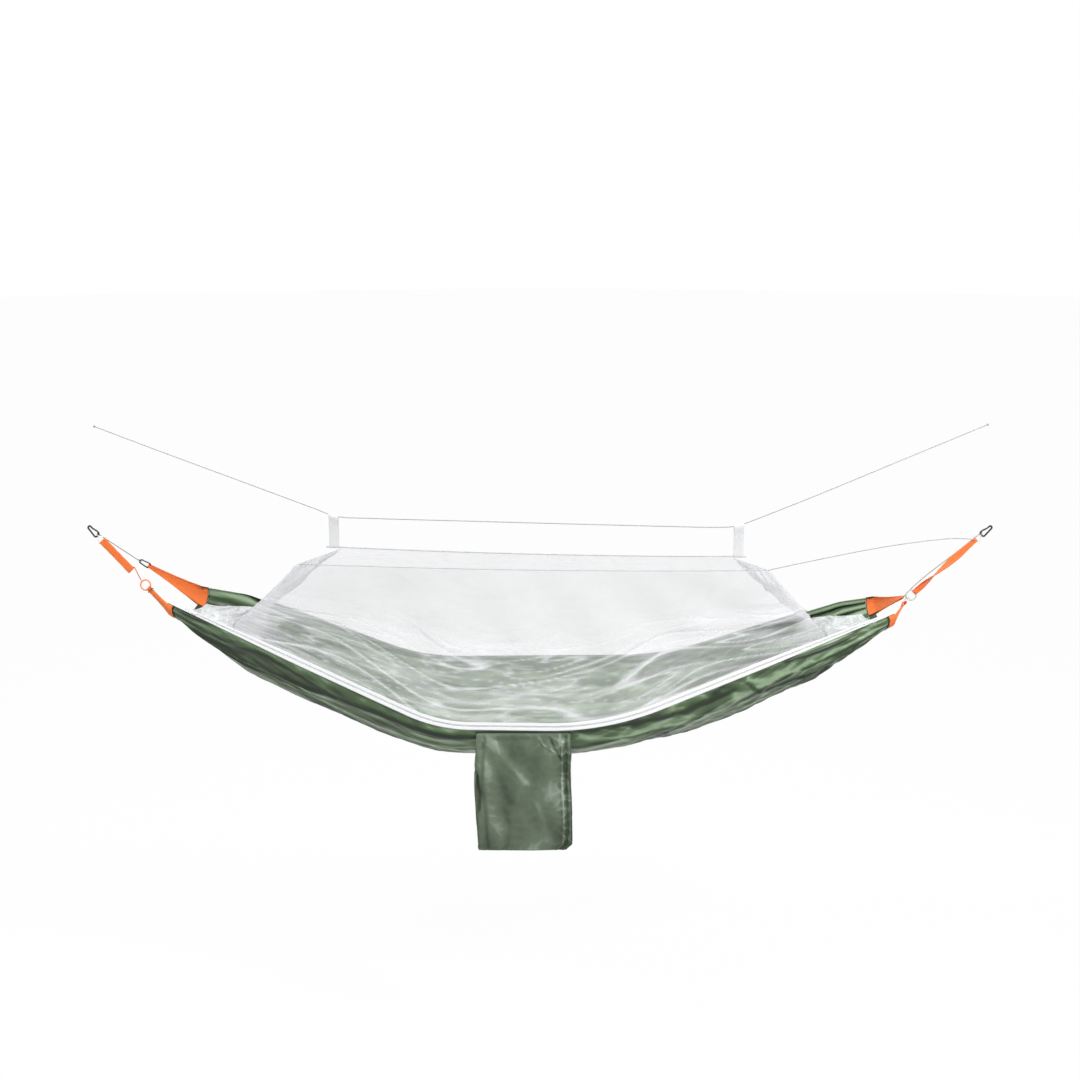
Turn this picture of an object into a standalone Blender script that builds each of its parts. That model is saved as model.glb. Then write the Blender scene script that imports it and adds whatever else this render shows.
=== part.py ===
# Camping hammock with a built-in mosquito net, hung taut between two anchors.
# Metres, +Z up, +X from the left anchor to the right one, -Y towards the zipped side.
# The origin is where the left hook bears on its anchor; modelling is done about mid-span.

import math

import bmesh
import bpy
import numpy as np

# Span and the two rims of the bed, as corners of a line whose corners are rounded (x, z)
hook_span = 3.060
front_rim_corners = [(-1.235, -0.252), (-0.335, -0.592), (0.215, -0.598), (1.170, -0.283)]
front_rim_radii = [0.62, 1.15]
front_rim_end_y = -0.075
front_rim_lean_share = 0.780
rear_rim_corners = [(-1.150, -0.238), (-1.020, -0.268), (-0.425, -0.567), (0.450, -0.558),
                    (1.050, -0.300), (1.140, -0.283)]
rear_rim_radii = [0.16, 0.55, 0.75, 0.16]
rear_rim_end_y = 0.095
rear_rim_lean_share = 0.760

# Cloth, net and sewn bands
bed_cloth = 0.0022
net_cloth = 0.0016
webbing_cloth = 0.0016
seam_gap = 0.0003
bed_depth = 0.165
bed_end_depth = 0.062
bed_belly_lean_share = 0.10
bed_depth_shares = [0.0, 0.78, 1.0, 1.0, 0.86, 0.80, 0.88, 1.0, 1.0, 0.78, 0.0]
fold_height = 0.011
fold_centre_share = 0.28
fold_rise_share = 0.10
fold_count = 3.5
fold_drift = 1.3
bed_stations = 33
bed_columns = 17
end_spacing_share = 0.45

zip_tape_width = 0.0105
zip_tape_thickness = 0.0014
zip_slot = 0.0014
coil_width = 0.0032
coil_height = 0.0022
zip_start_share = 0.012
rim_arc_steps = 12
tangent_step = 0.004
lap_inset = 0.002
rear_binding_width = 0.012
rear_lap = 0.006
end_hem_width = 0.026
end_hem_thickness = 0.0042

# Net roof and walls; the roof is a strip that hangs from the ridge line
roof_rear_left = (-0.672, 0.0, -0.070)
roof_rear_right = (0.648, 0.0, -0.102)
roof_front_left = (-0.800, -0.150, -0.092)
roof_front_right = (0.762, -0.132, -0.118)
roof_sag = 0.008
front_seam_sag = 0.010
hem_radius = 0.0020
seam_radius = 0.0014
net_station = 4
net_columns = 25
wall_rows = 6
roof_rows = 4
end_rows = 5
end_first_column = 3
net_slack = 0.055
net_fold_height = 0.010
net_fold_count = 6.5
net_rise_count = 4
end_panel_slack = 0.030
panel_inset = 0.0015

# Ridge line and its two tabs
cord_radius = 0.0015
route_steps = 3
ridge_route = [(-1.490, 0.0, 0.344), (-1.280, 0.0, 0.262), (-1.000, 0.0, 0.155), (-0.760, 0.0, 0.063),
               (-0.692, 0.0, 0.037), (-0.600, 0.0, 0.031), (-0.250, 0.0, 0.021), (0.100, 0.0, 0.011),
               (0.450, 0.0, 0.002), (0.600, 0.0, -0.001), (0.668, 0.0, 0.004), (0.740, 0.0, 0.030),
               (0.950, 0.0, 0.116), (1.220, 0.0, 0.232), (1.496, 0.0, 0.350)]
ridge_knot_radius = 0.0042
knot_steps = 6
ridge_tab_width = 0.034
ridge_tab_eye = 0.0052
ridge_tab_offset = 0.0105
seat_samples = 25
guy_start = 0.0006
guy_route = [(0.900, -0.112, -0.093), (1.150, -0.070, -0.054),
             (1.380, -0.028, -0.034), (1.478, -0.010, -0.040)]

# Snap hooks: a bent rod with a gate that is hinged on its tongue
hook_length = 0.050
hook_width = 0.026
hook_tip_width = 0.0165
hook_rod = 0.0031
hook_corner = 0.0052
clip_length = 0.044
clip_width = 0.022
clip_tip_width = 0.018
clip_rod = 0.0024
clip_corner = 0.0058
hook_radius_shares = [1.0, 1.0, 0.8, 0.8, 0.8]
hook_arc_steps = 3
gate_foot_share = 0.75
gate_head_share = 0.32
gate_rod_share = 0.96
gate_gap = 0.0012
pin_share = 0.40
pin_clearance = 0.00025
tongue_share = 0.60
tongue_length_share = 2.6
tongue_width_share = 1.5

# Links, straps and rings between the hooks and the bed
link_rod = 0.0011
link_length = 0.025
link_corner = 0.0045
link_turn_steps = 6
strap_width = 0.025
left_strap_length = 0.138
left_cord_drop = 0.054
strap_cord_radius = 0.0018
strap_cord_turn = 0.012
hook_cord_side = 0.0052
hook_cord_clearance = 0.0009
hook_tail_length = 0.0012
cord_tail_length = 0.006
turn_steps = 6
ring_radius = 0.0175
ring_rod = 0.0024
ring_steps = 20
small_ring_radius = 0.0130
small_ring_rod = 0.0014
tie_rod = 0.0012
tie_corner_steps = 4
right_ring_at = (1.268, -0.012, -0.236)
right_rear_eye = (1.244, 0.002, -0.247)
right_cord_route = [(1.408, 0.022, -0.106), (1.340, 0.024, -0.162), (1.283, 0.018, -0.211)]

# Webbing tabs on the end hems
front_tab_start_width = 0.014
front_tab_end_width = 0.046
rear_tab_start_width = 0.010
rear_tab_end_width = 0.074
left_rear_tab_length = 0.200
tab_margin = 0.003
tab_seat = 0.0014
tab_stitch_shares = [0.45, 0.88]
ply_close_share = 0.35
fold_steps = 6
tab_steps = 4
twisted_steps = 14
right_strap_eye_width = 0.016
right_strap_top_width = 0.014
strap_turn_share = 1.35

# Zip sliders, which run along the straight ends of the front rim
slider_length = 0.0100
slider_width = 0.0082
slider_plate = 0.0012
slider_wall = 0.0006
slider_inset = 0.030
bail_height = 0.0034
bail_rod = 0.0009
bail_reach_share = 0.30
pull_length = 0.0220
pull_width = 0.0056
pull_plate = 0.0010
pull_slack = 0.0010
zip_stop_length = 0.0050

# Stuff sack that hangs from the front rim
sack_centre_x = -0.054
sack_width = 0.312
sack_height = 0.384
sack_depth = 0.040
sack_cloth = 0.0016
sack_bulge = 0.006
sack_columns = 8
sack_samples = 401
sack_drop_shares = [0.0, 0.06, 0.14, 0.27, 0.42, 0.57, 0.71, 0.84, 0.945, 1.0]
sack_left_shares = [-0.496, -0.499, -0.502, -0.508, -0.508, -0.500, -0.494, -0.486, -0.478, -0.474]
sack_right_shares = [0.492, 0.493, 0.494, 0.496, 0.498, 0.502, 0.504, 0.506, 0.508, 0.440]
sack_depth_shares = [0.30, 0.48, 0.68, 0.90, 1.0, 1.0, 1.0, 1.0, 0.96, 0.90]
sack_back_shares = [0.0, 0.45, 0.85, 1.0, 1.0, 1.0, 1.0, 1.0, 1.0, 1.0]
sack_standoff = 0.014
sack_flap = 0.006
sack_hinge_gap = 0.0008

tube_sides = 8
small_tube_sides = 6
join_overrun = 0.0004

hook_sizes = {"length": hook_length, "width": hook_width, "tip_width": hook_tip_width,
              "rod": hook_rod, "corner": hook_corner}
clip_sizes = {"length": clip_length, "width": clip_width, "tip_width": clip_tip_width,
              "rod": clip_rod, "corner": clip_corner}


def vec(*values):
    return np.array(values, dtype=float)


def unit(vector):
    vector = np.asarray(vector, dtype=float)
    return vector / np.linalg.norm(vector)


def mix(first, second, share):
    return first * (1 - share) + second * share


def clear_scene():
    for item in list(bpy.data.objects):
        bpy.data.objects.remove(item, do_unlink=True)


def linear(channel):
    channel = channel / 255
    return channel / 12.92 if channel <= 0.04045 else ((channel + 0.055) / 1.055) ** 2.4


def paint(name, rgb, roughness, metallic=0.0, alpha=1.0):
    material = bpy.data.materials.new(name)
    material.use_nodes = True
    shader = material.node_tree.nodes["Principled BSDF"]
    colour = tuple(linear(channel) for channel in rgb)
    shader.inputs["Base Color"].default_value = colour + (1.0,)
    shader.inputs["Roughness"].default_value = roughness
    shader.inputs["Metallic"].default_value = metallic
    shader.inputs["Alpha"].default_value = alpha
    material.diffuse_color = colour + (alpha,)
    return material


def finish(name, bm, material):
    """Make an object from a bmesh, with its faces pointing out, under the mid-span empty."""
    bmesh.ops.recalc_face_normals(bm, faces=bm.faces)
    mesh = bpy.data.meshes.new(name)
    bm.to_mesh(mesh)
    bm.free()
    mesh.shade_smooth()
    mesh.set_sharp_from_angle(angle=math.radians(40))
    mesh.materials.append(material)
    item = bpy.data.objects.new(name, mesh)
    bpy.context.scene.collection.objects.link(item)
    item.parent = bpy.data.objects["mid_span"]
    return item


def loft(name, rings, material, closed=False):
    """Join rings of points, all with as many corners, into one closed body."""
    bm = bmesh.new()
    rows = [[bm.verts.new(point) for point in ring] for ring in rings]
    count = len(rows[0])
    last = len(rows) if closed else len(rows) - 1
    for i in range(last):
        row, after = rows[i], rows[(i + 1) % len(rows)]
        for j in range(count):
            k = (j + 1) % count
            bm.faces.new((row[j], row[k], after[k], after[j]))
    if not closed:
        bm.faces.new(rows[0])
        bm.faces.new(rows[-1])
    return finish(name, bm, material)


def grid_normals(grid):
    along = np.gradient(grid, axis=0)
    across = np.gradient(grid, axis=1)
    normals = np.cross(along, across)
    return normals / np.linalg.norm(normals, axis=2, keepdims=True)


def sheet(name, grid, thickness, material):
    """Give a grid of points the thickness of its cloth and close its edges."""
    normals = grid_normals(grid)
    bm = bmesh.new()
    sides = []
    for sign in (0.5, -0.5):
        points = grid + normals * (thickness * sign)
        sides.append([[bm.verts.new(point) for point in row] for row in points])
    front, back = sides
    rows, columns = grid.shape[:2]
    for i in range(rows - 1):
        for j in range(columns - 1):
            bm.faces.new((front[i][j], front[i][j + 1], front[i + 1][j + 1], front[i + 1][j]))
            bm.faces.new((back[i][j], back[i + 1][j], back[i + 1][j + 1], back[i][j + 1]))
    border = [(i, 0) for i in range(rows)] + [(rows - 1, j) for j in range(1, columns)]
    border += [(i, columns - 1) for i in range(rows - 2, -1, -1)]
    border += [(0, j) for j in range(columns - 2, 0, -1)]
    for (a, b), (c, d) in zip(border, border[1:] + border[:1]):
        bm.faces.new((front[a][b], front[c][d], back[c][d], back[a][b]))
    return finish(name, bm, material)


def tube_rings(points, radius, sides, closed=False):
    """Rings of a round rod that follows points, turned as little as possible."""
    points = np.asarray(points, dtype=float)
    count = len(points)
    if closed:
        tangents = [unit(points[(i + 1) % count] - points[i - 1]) for i in range(count)]
    else:
        ends = [points[min(i + 1, count - 1)] - points[max(i - 1, 0)] for i in range(count)]
        tangents = [unit(end) for end in ends]
    start = vec(0, 1, 0) if abs(tangents[0][1]) < 0.8 else vec(0, 0, 1)
    side = unit(np.cross(tangents[0], start))
    sides_out = [side]
    for tangent in tangents[1:]:
        side = unit(side - tangent * np.dot(side, tangent))
        sides_out.append(side)
    slip = 0.0
    if closed:
        back = unit(side - tangents[0] * np.dot(side, tangents[0]))
        other = np.cross(tangents[0], sides_out[0])
        slip = math.atan2(np.dot(back, other), np.dot(back, sides_out[0]))
    rings = []
    for i, (point, tangent, side) in enumerate(zip(points, tangents, sides_out)):
        other = np.cross(tangent, side)
        turn = -slip * i / count
        ring = []
        for k in range(sides):
            angle = turn + 2 * math.pi * k / sides
            ring.append(point + radius * (math.cos(angle) * side + math.sin(angle) * other))
        rings.append(ring)
    return rings


def tube(name, points, radius, material, sides=tube_sides, closed=False):
    return loft(name, tube_rings(points, radius, sides, closed), material, closed)


def box(name, centre, axes, sizes, material):
    """A block with its middle at centre, its edges along three axes."""
    halves = [np.asarray(axis) * size / 2 for axis, size in zip(axes, sizes)]
    rings = []
    for sign in (-1, 1):
        corners = [(-1, -1), (1, -1), (1, 1), (-1, 1)]
        rings.append([centre + halves[0] * sign + halves[1] * a + halves[2] * b for a, b in corners])
    return loft(name, rings, material)


def combine(target, tool, operation):
    """Unite, cut or intersect with another body, which is used up."""
    change = target.modifiers.new(operation.lower(), "BOOLEAN")
    change.operation = operation
    change.solver = "EXACT"
    change.object = tool
    bpy.context.view_layer.update()
    shaped = target.evaluated_get(bpy.context.evaluated_depsgraph_get())
    mesh = bpy.data.meshes.new_from_object(shaped)
    target.modifiers.clear()
    target.data = mesh
    bpy.data.objects.remove(tool, do_unlink=True)
    return target


def smooth_route(route, steps):
    """Points on a smooth curve through a route, each stretch in equal steps."""
    route = [vec(*point) for point in route]
    lengths = [np.linalg.norm(after - before) for before, after in zip(route, route[1:])]
    ways = [(route[1] - route[0]) / lengths[0]]
    for i in range(1, len(route) - 1):
        ways.append((route[i + 1] - route[i - 1]) / (lengths[i - 1] + lengths[i]))
    ways.append((route[-1] - route[-2]) / lengths[-1])
    points = []
    for a, b, way_a, way_b, length in zip(route, route[1:], ways, ways[1:], lengths):
        for i in range(steps):
            t = i / steps
            rise = t * t * (3 - 2 * t)
            points.append(mix(a, b, rise) + length * t * (1 - t) * ((1 - t) * way_a - t * way_b))
    points.append(route[-1])
    return points


def cord(name, points, radius, material):
    curve = bpy.data.curves.new(name, "CURVE")
    curve.dimensions = "3D"
    curve.bevel_depth = radius
    curve.bevel_resolution = 2
    curve.use_fill_caps = True
    spline = curve.splines.new("POLY")
    spline.points.add(len(points) - 1)
    for place, point in zip(spline.points, points):
        place.co = (*point, 1.0)
    curve.materials.append(material)
    item = bpy.data.objects.new(name, curve)
    bpy.context.scene.collection.objects.link(item)
    item.parent = bpy.data.objects["mid_span"]
    return item


def rounded_line(corners, radii, steps):
    """Points of a flat line through corners, with an arc of its own radius in each inner one."""
    corners = [vec(*corner) for corner in corners]
    points = [corners[0]]
    for before, corner, after, radius in zip(corners, corners[1:], corners[2:], radii):
        arrive, leave = unit(corner - before), unit(after - corner)
        turn = math.acos(max(-1.0, min(1.0, float(np.dot(arrive, leave)))))
        reach = radius * math.tan(turn / 2)
        sign = 1 if arrive[0] * leave[1] - arrive[1] * leave[0] > 0 else -1
        start = corner - arrive * reach
        inward = vec(-arrive[1], arrive[0]) * sign
        centre = start + inward * radius
        for i in range(steps + 1):
            angle = turn * i / steps
            points.append(centre - inward * radius * math.cos(angle) + arrive * radius * math.sin(angle))
    points.append(corners[-1])
    return points


class Rim:
    """An edge of the bed: a rounded line in a plane that leans back as it rises."""

    def __init__(self, corners, radii, end_y, lean, outward):
        flat = rounded_line(corners, radii, rim_arc_steps)
        end_z = corners[0][1]
        self.points = np.array([(x, end_y - outward * lean * (z - end_z), z) for x, z in flat])
        self.normal = unit(vec(0, outward, lean))
        steps = np.linalg.norm(np.diff(self.points, axis=0), axis=1)
        self.distance = np.concatenate(([0.0], np.cumsum(steps)))
        self.length = self.distance[-1]

    def point(self, share):
        place = share * self.length
        return np.array([np.interp(place, self.distance, self.points[:, k]) for k in range(3)])

    def frame(self, share):
        """Point, direction along the rim, direction up in its plane, and outward normal."""
        ahead = self.point(min(1.0, share + tangent_step)) - self.point(max(0.0, share - tangent_step))
        along = unit(ahead)
        up = np.cross(self.normal, along)
        if up[2] < 0:
            up = -up
        return self.point(share), along, up, self.normal

    def at(self, share, rise=0.0, out=0.0):
        point, _, up, normal = self.frame(share)
        return point + up * rise + normal * out

    def strip(self, name, shares, rises, outs, material):
        """A flat band along the rim, between two heights and two depths."""
        (low, high), (inner, outer) = rises, outs
        corners = [(low, inner), (high, inner), (high, outer), (low, outer)]
        rings = [[self.at(share, rise, out) for rise, out in corners] for share in shares]
        return loft(name, rings, material)


def station_shares(count):
    """Places along the bed from 0 to 1, closer together towards its gathered ends."""
    shares = []
    for i in range(count):
        even = i / (count - 1)
        curved = 0.5 - 0.5 * math.cos(math.pi * even)
        shares.append(mix(even, curved, end_spacing_share))
    return shares


def shares_between(stations, first, last):
    return [first] + [share for share in stations if first < share < last] + [last]


def bed_grid(front, rear, stations):
    """Mid-surface of the bed, from under the zip tape, down and round, to the rear rim."""
    behind_tape = -(zip_tape_thickness / 2 + seam_gap + bed_cloth / 2)
    tape_foot = -(coil_width / 2 + zip_slot + zip_tape_width)
    places = np.linspace(0, 1, len(bed_depth_shares))
    grid = []
    for share in stations:
        depth = bed_end_depth + (bed_depth - bed_end_depth) * np.interp(share, places, bed_depth_shares)
        row = [front.at(share, tape_foot + zip_tape_width - lap_inset, behind_tape),
               front.at(share, tape_foot, behind_tape)]
        top = front.at(share, tape_foot - lap_inset, behind_tape)
        end = rear.at(share, -(rear_lap + lap_inset))
        low = min(top[2], end[2]) - depth
        down_front = vec(0, -bed_belly_lean_share, -1) * (top[2] - low) * 4 / 3
        down_rear = vec(0, bed_belly_lean_share, -1) * (end[2] - low) * 4 / 3
        spread = bed_columns - 4
        near_end = min(share, 1 - share)
        swell = ease(near_end / fold_rise_share)
        height = fold_height * swell * mix(1.0, fold_centre_share, ease(2 * near_end))
        for j in range(spread):
            v = j / (spread - 1)
            u = 1 - v
            point = (top * u ** 3 + 3 * (top + down_front) * u * u * v
                     + 3 * (end + down_rear) * u * v * v + end * v ** 3)
            slope = (3 * down_front * u * u + 6 * (end + down_rear - top - down_front) * u * v
                     - 3 * down_rear * v * v)
            normal = unit(np.cross(slope, vec(1, 0, 0)))
            wave = math.sin(2 * math.pi * (fold_count * v + fold_drift * share))
            row.append(point + normal * (height * wave * math.sin(math.pi * v)))
        row.append(rear.at(share, -rear_lap))
        row.append(rear.at(share, 0.0))
        grid.append(row)
    return np.array(grid)


def edge_distances(points):
    steps = np.linalg.norm(np.diff(np.array(points), axis=0), axis=1)
    return np.concatenate(([0.0], np.cumsum(steps)))


def end_hem(name, grid, at_start, material):
    """Flat hem along a gathered end of the bed, edge to edge with its cloth.

    Returns the places that the front tab and the rear tab are sewn to: for each, points of
    the hem's middle line with the hem's normal and the way out of the bed.
    """
    edge, inner = (grid[0], grid[1]) if at_start else (grid[-1], grid[-2])
    normals = grid_normals(grid)[0 if at_start else -1]
    distance = edge_distances(edge)
    total = distance[-1]
    spans = [(tab_margin, tab_margin + front_tab_end_width),
             (total - tab_margin - rear_tab_end_width, total - tab_margin)]
    stops = sorted(set(distance) | {end for span in spans for end in span})

    def between(values, where):
        return np.array([np.interp(where, distance, values[:, k]) for k in range(3)])

    rings, middles = [], []
    half = end_hem_thickness / 2
    for where in stops:
        point, back = between(edge, where), between(inner, where)
        normal, outward = unit(between(normals, where)), unit(point - back)
        outward = unit(outward - normal * np.dot(outward, normal))
        near, far = point + outward * seam_gap, point + outward * (seam_gap + end_hem_width)
        rings.append([near - normal * half, far - normal * half, far + normal * half, near + normal * half])
        middles.append(((near + far) / 2, normal, outward))
    loft(name, rings, material)
    return [[middle for where, middle in zip(stops, middles) if low <= where <= high] for low, high in spans]


def middle_of(places):
    """Point on the outer edge of a hem, half way across a tab."""
    first, last = places[0], places[-1]
    return (first[0] + last[0]) / 2 + unit(first[2] + last[2]) * end_hem_width / 2


def ease(share):
    share = max(0.0, min(1.0, share))
    return share * share * (3 - 2 * share)


def chord_drop(radius, width):
    """How far a round rod drops from its tangent at the edge of webbing laid across it."""
    half = min(width / 2, radius)
    return radius - math.sqrt(radius * radius - half * half)


def ply_gap(w, half_a, half_b):
    """Half the space between two plies, which lie together between their folds."""
    if w < 0.5:
        return mix(half_a, seam_gap, ease(w / ply_close_share))
    return mix(half_b, seam_gap, ease((1 - w) / ply_close_share))


def eye_room(rod, bend, width):
    """Half the space in a fold of webbing that lies on a rod bent to a radius."""
    slack = chord_drop(bend, width) + bend * (1 - math.cos(math.pi / ring_steps)) if bend else 0.0
    return rod + seam_gap + slack


def strap_sections(a, b, half_a, half_b, axis_a, axis_b, width_a, width_b, full_width, turns=0.0, steps=4):
    """Sections of a webbing loop that is folded round a rod at a and one at b."""
    line = unit(b - a)
    flats = [axis - line * np.dot(axis, line) for axis in (axis_a, axis_b)]
    along_a, along_b = [np.dot(axis, line) / np.linalg.norm(flat) for axis, flat in zip((axis_a, axis_b), flats)]
    flat_a = unit(flats[0])
    side_a = np.cross(line, flat_a)
    turn = math.atan2(np.dot(axis_b, side_a), np.dot(axis_b, flat_a)) + math.pi * turns

    def section(w, around):
        angle = turn * w ** strap_turn_share if turns else turn * w
        flat = math.cos(angle) * flat_a + math.sin(angle) * side_a
        axis = flat + line * mix(along_a, along_b, w)
        along = -line if w == 0 else line
        outward = np.cross(line, flat) * math.cos(around) + along * math.sin(around)
        near = mix(a, b, w) + outward * ply_gap(w, half_a, half_b)
        far = near + outward * webbing_cloth
        folded = mix(width_a, width_b, w)
        half = axis * mix(folded, full_width, ease(min(w, 1 - w) / ply_close_share)) / 2
        return [near - half, near + half, far + half, far - half]

    inner = [k / steps for k in range(1, steps)]
    arcs = [math.pi * k / fold_steps for k in range(fold_steps + 1)]
    rings = [section(1, angle) for angle in reversed(arcs)]
    rings += [section(w, 0.0) for w in reversed(inner)]
    rings += [section(0, angle) for angle in arcs]
    rings += [section(w, math.pi) for w in inner]
    return rings


def tab_sections(a, half_a, axis_a, width_a, places):
    """Sections of a webbing tab that is folded round a rod and sewn on both faces of a hem."""
    line = unit(middle_of(places) - a)
    hem_axis = places[-1][0] - places[0][0]
    if np.dot(axis_a, hem_axis) < 0:
        axis_a = -axis_a
    side_a = np.cross(line, axis_a)
    half_a = half_a / np.linalg.norm(side_a)
    side_a = unit(side_a)
    normals = [place[1] for place in places]
    if np.dot(np.cross(line, hem_axis), normals[len(normals) // 2]) < 0:
        normals = [-normal for normal in normals]
    half_b = end_hem_thickness / 2 + tab_seat
    distance = edge_distances([place[0] for place in places])
    spread = distance / distance[-1] - 0.5

    def ring_of(points, outwards, gap):
        near = [point + outward * gap for point, outward in zip(points, outwards)]
        far = [point + outward * webbing_cloth for point, outward in zip(near, outwards)]
        return near + far[::-1]

    def across_a(outward):
        return ring_of([a + axis_a * width_a * share for share in spread], [outward] * len(spread), half_a)

    def between(w, sign):
        points, outwards = [], []
        for share, place, normal in zip(spread, places, normals):
            start = a + axis_a * width_a * share
            points.append(mix(start, place[0] + place[2] * end_hem_width / 2, w))
            outwards.append(unit(mix(side_a, normal, w)) * sign)
        return ring_of(points, outwards, ply_gap(w, half_a, half_b))

    def on_hem(depth, sign):
        points = [place[0] + place[2] * (end_hem_width / 2 - depth) for place in places]
        return ring_of(points, [normal * sign for normal in normals], half_b)

    depths = [end_hem_width * share for share in tab_stitch_shares]
    inner = [k / tab_steps for k in range(1, tab_steps + 1)]
    rings = [on_hem(depth, 1) for depth in reversed(depths)]
    rings += [between(w, 1) for w in reversed(inner)]
    for k in range(fold_steps + 1):
        angle = math.pi * k / fold_steps
        rings.append(across_a(side_a * math.cos(angle) - line * math.sin(angle)))
    rings += [between(w, -1) for w in inner]
    rings += [on_hem(depth, -1) for depth in depths]
    return rings


def snap_hook(prefix, bearing, down, across, sizes, paints):
    """Snap hook whose tip bears at a point and whose bow lies down along a direction.

    Returns the middle of its bow, and the hinge of its gate with the axis that opens it.
    """
    black, steel = paints
    rod, corner = sizes["rod"], sizes["corner"]
    normal = np.cross(across, down)
    half, tip, end = sizes["width"] / 2 - rod, sizes["tip_width"] / 2 - rod, sizes["length"] - rod
    low, high = sizes["length"] * gate_foot_share, sizes["length"] * gate_head_share

    corners = [(half, low), (half, end), (-half, end), (-tip, corner), (0, rod), (tip, corner), (tip, high)]
    radii = [corner * share for share in hook_radius_shares]
    outline = rounded_line(corners, radii, hook_arc_steps)
    tip_wire = min(point[1] for point in outline)
    top = bearing - down * (tip_wire + rod)

    def place(sideways, along):
        return top + across * sideways + down * along

    path = [place(*point) for point in outline]
    body = tube(prefix + "_body", path, rod, black(prefix + "_body"))
    tongue_thickness = rod * tongue_share
    reach = rod * tongue_length_share
    hinge = place(half, low - reach / 2)
    foot = low + join_overrun
    tongue = box("tongue", place(half, (foot + low - reach) / 2), (down, across, normal),
                 (foot - low + reach, rod * tongue_width_share, tongue_thickness), black("tongue"))
    combine(body, tongue, "UNION")
    pin_rod = rod * pin_share
    bore_ends = [hinge - normal * 2 * rod, hinge + normal * 2 * rod]
    combine(body, tube("bore", bore_ends, pin_rod + pin_clearance, black("bore")), "DIFFERENCE")
    ends = [place(half, low - gate_gap), place(tip, high + gate_gap)]
    gate = tube(prefix + "_gate", ends, rod * gate_rod_share, black(prefix + "_gate"))
    slot_sizes = (2 * (reach + gate_gap), 4 * rod, tongue_thickness + 2 * seam_gap)
    slot = box("slot", place(half, low), (down, across, normal), slot_sizes, black("slot"))
    combine(gate, slot, "DIFFERENCE")
    combine(gate, tube("bore", bore_ends, pin_rod + pin_clearance, black("bore")), "DIFFERENCE")
    flush = rod * gate_rod_share - seam_gap
    tube(prefix + "_pin", [hinge - normal * flush, hinge + normal * flush], pin_rod, steel(prefix + "_pin"))
    return place(0, end), (hinge, -normal)


def ring(name, centre, start, other, radius, rod, material):
    points = []
    for k in range(ring_steps):
        angle = 2 * math.pi * k / ring_steps
        points.append(centre + radius * (math.cos(angle) * start + math.sin(angle) * other))
    return tube(name, points, rod, material, small_tube_sides, closed=True)


def strap_link(name, bow, down, across, paint_of):
    """Wire triangle that passes round a hook's bow; its base carries the folded webbing."""
    out = np.cross(across, down)
    front = out if out[1] < 0 else -out
    reach = hook_sizes["rod"] + link_rod + 2 * seam_gap
    base = bow + down * link_length
    half = strap_width / 2 + link_corner
    apex = []
    for k in range(link_turn_steps + 1):
        angle = math.pi * k / link_turn_steps
        lean = across * link_rod * math.cos(angle)
        apex.append(bow + lean + reach * (front * math.cos(angle) - down * math.sin(angle)))
    near, far = base + across * half, base - across * half
    route = [far, base, near, mix(near, apex[0], 0.5)] + apex + [mix(far, apex[-1], 0.5)]
    tube(name, route, link_rod, paint_of(name), small_tube_sides, closed=True)
    return base


def knot(name, start, axis, radius, material):
    """Small knot, turned about the cord whose end it closes."""
    side = unit(np.cross(axis, vec(0, 1, 0)))
    other = np.cross(axis, side)
    rings = []
    for k in range(1, knot_steps):
        angle = math.pi * k / knot_steps
        height = radius * (math.cos(math.pi / knot_steps) - math.cos(angle))
        reach = radius * math.sin(angle)
        turns = [2 * math.pi * j / tube_sides for j in range(tube_sides)]
        rings.append([start + axis * height + reach * (math.cos(t) * side + math.sin(t) * other) for t in turns])
    return loft(name, rings, material)


def cord_turn(rod_middle, away, out, rod, clearance, tail_length, arriving=False):
    """Points of a cord that passes once round a rod; it leaves the way that away points."""
    reach = rod + cord_radius + clearance
    points = [rod_middle + out * reach + away * tail_length]
    for k in range(turn_steps + 1):
        angle = math.pi * k / turn_steps
        points.append(rod_middle + reach * (out * math.cos(angle) - away * math.sin(angle)))
    points.append(rod_middle - out * reach + away * cord_tail_length / 2)
    return points[::-1] if arriving else points


def seat_below(points, x, width, eye):
    """Where a folded tab of some width has to lie so that a line passes through its eye."""
    line = np.array(points)
    height = lambda place: np.interp(place, line[:, 0], line[:, 2])
    low, high = x - width / 2, x + width / 2
    slope = vec(width, 0, height(high) - height(low))
    places = np.linspace(low, high, seat_samples)
    above = max(height(place) - height(low) - slope[2] * (place - low) / width for place in places)
    middle = vec(x, 0, height(low) + slope[2] / 2)
    return middle + vec(0, 0, above + cord_radius + 2 * seam_gap - eye), slope


def tie_round(name, a, axis, room, places, paint_of):
    """Whipping round both plies of a tab, just below its eye."""
    b = middle_of(places)
    line = unit(b - a)
    side = np.cross(line, axis)
    wrap = tie_rod + 2 * seam_gap
    below = room + webbing_cloth + wrap
    w = below / np.linalg.norm(b - a)
    lean = places[-1][0] - places[0][0]
    half_width = mix(front_tab_start_width, abs(np.dot(lean, axis)), w) / 2
    half_depth = room + webbing_cloth + abs(np.dot(lean, side)) * w / 2
    points = []
    for k in range(4 * tie_corner_steps):
        corner, step = divmod(k, tie_corner_steps)
        angle = math.pi / 2 * (corner + step / (tie_corner_steps - 1))
        sign_a, sign_b = (1, -1, -1, 1)[corner], (1, 1, -1, -1)[corner]
        points.append(a + line * below + axis * (sign_a * half_width + wrap * math.cos(angle))
                      + side * (sign_b * half_depth + wrap * math.sin(angle)))
    return tube(name, points, tie_rod, paint_of(name), small_tube_sides, closed=True)


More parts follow.
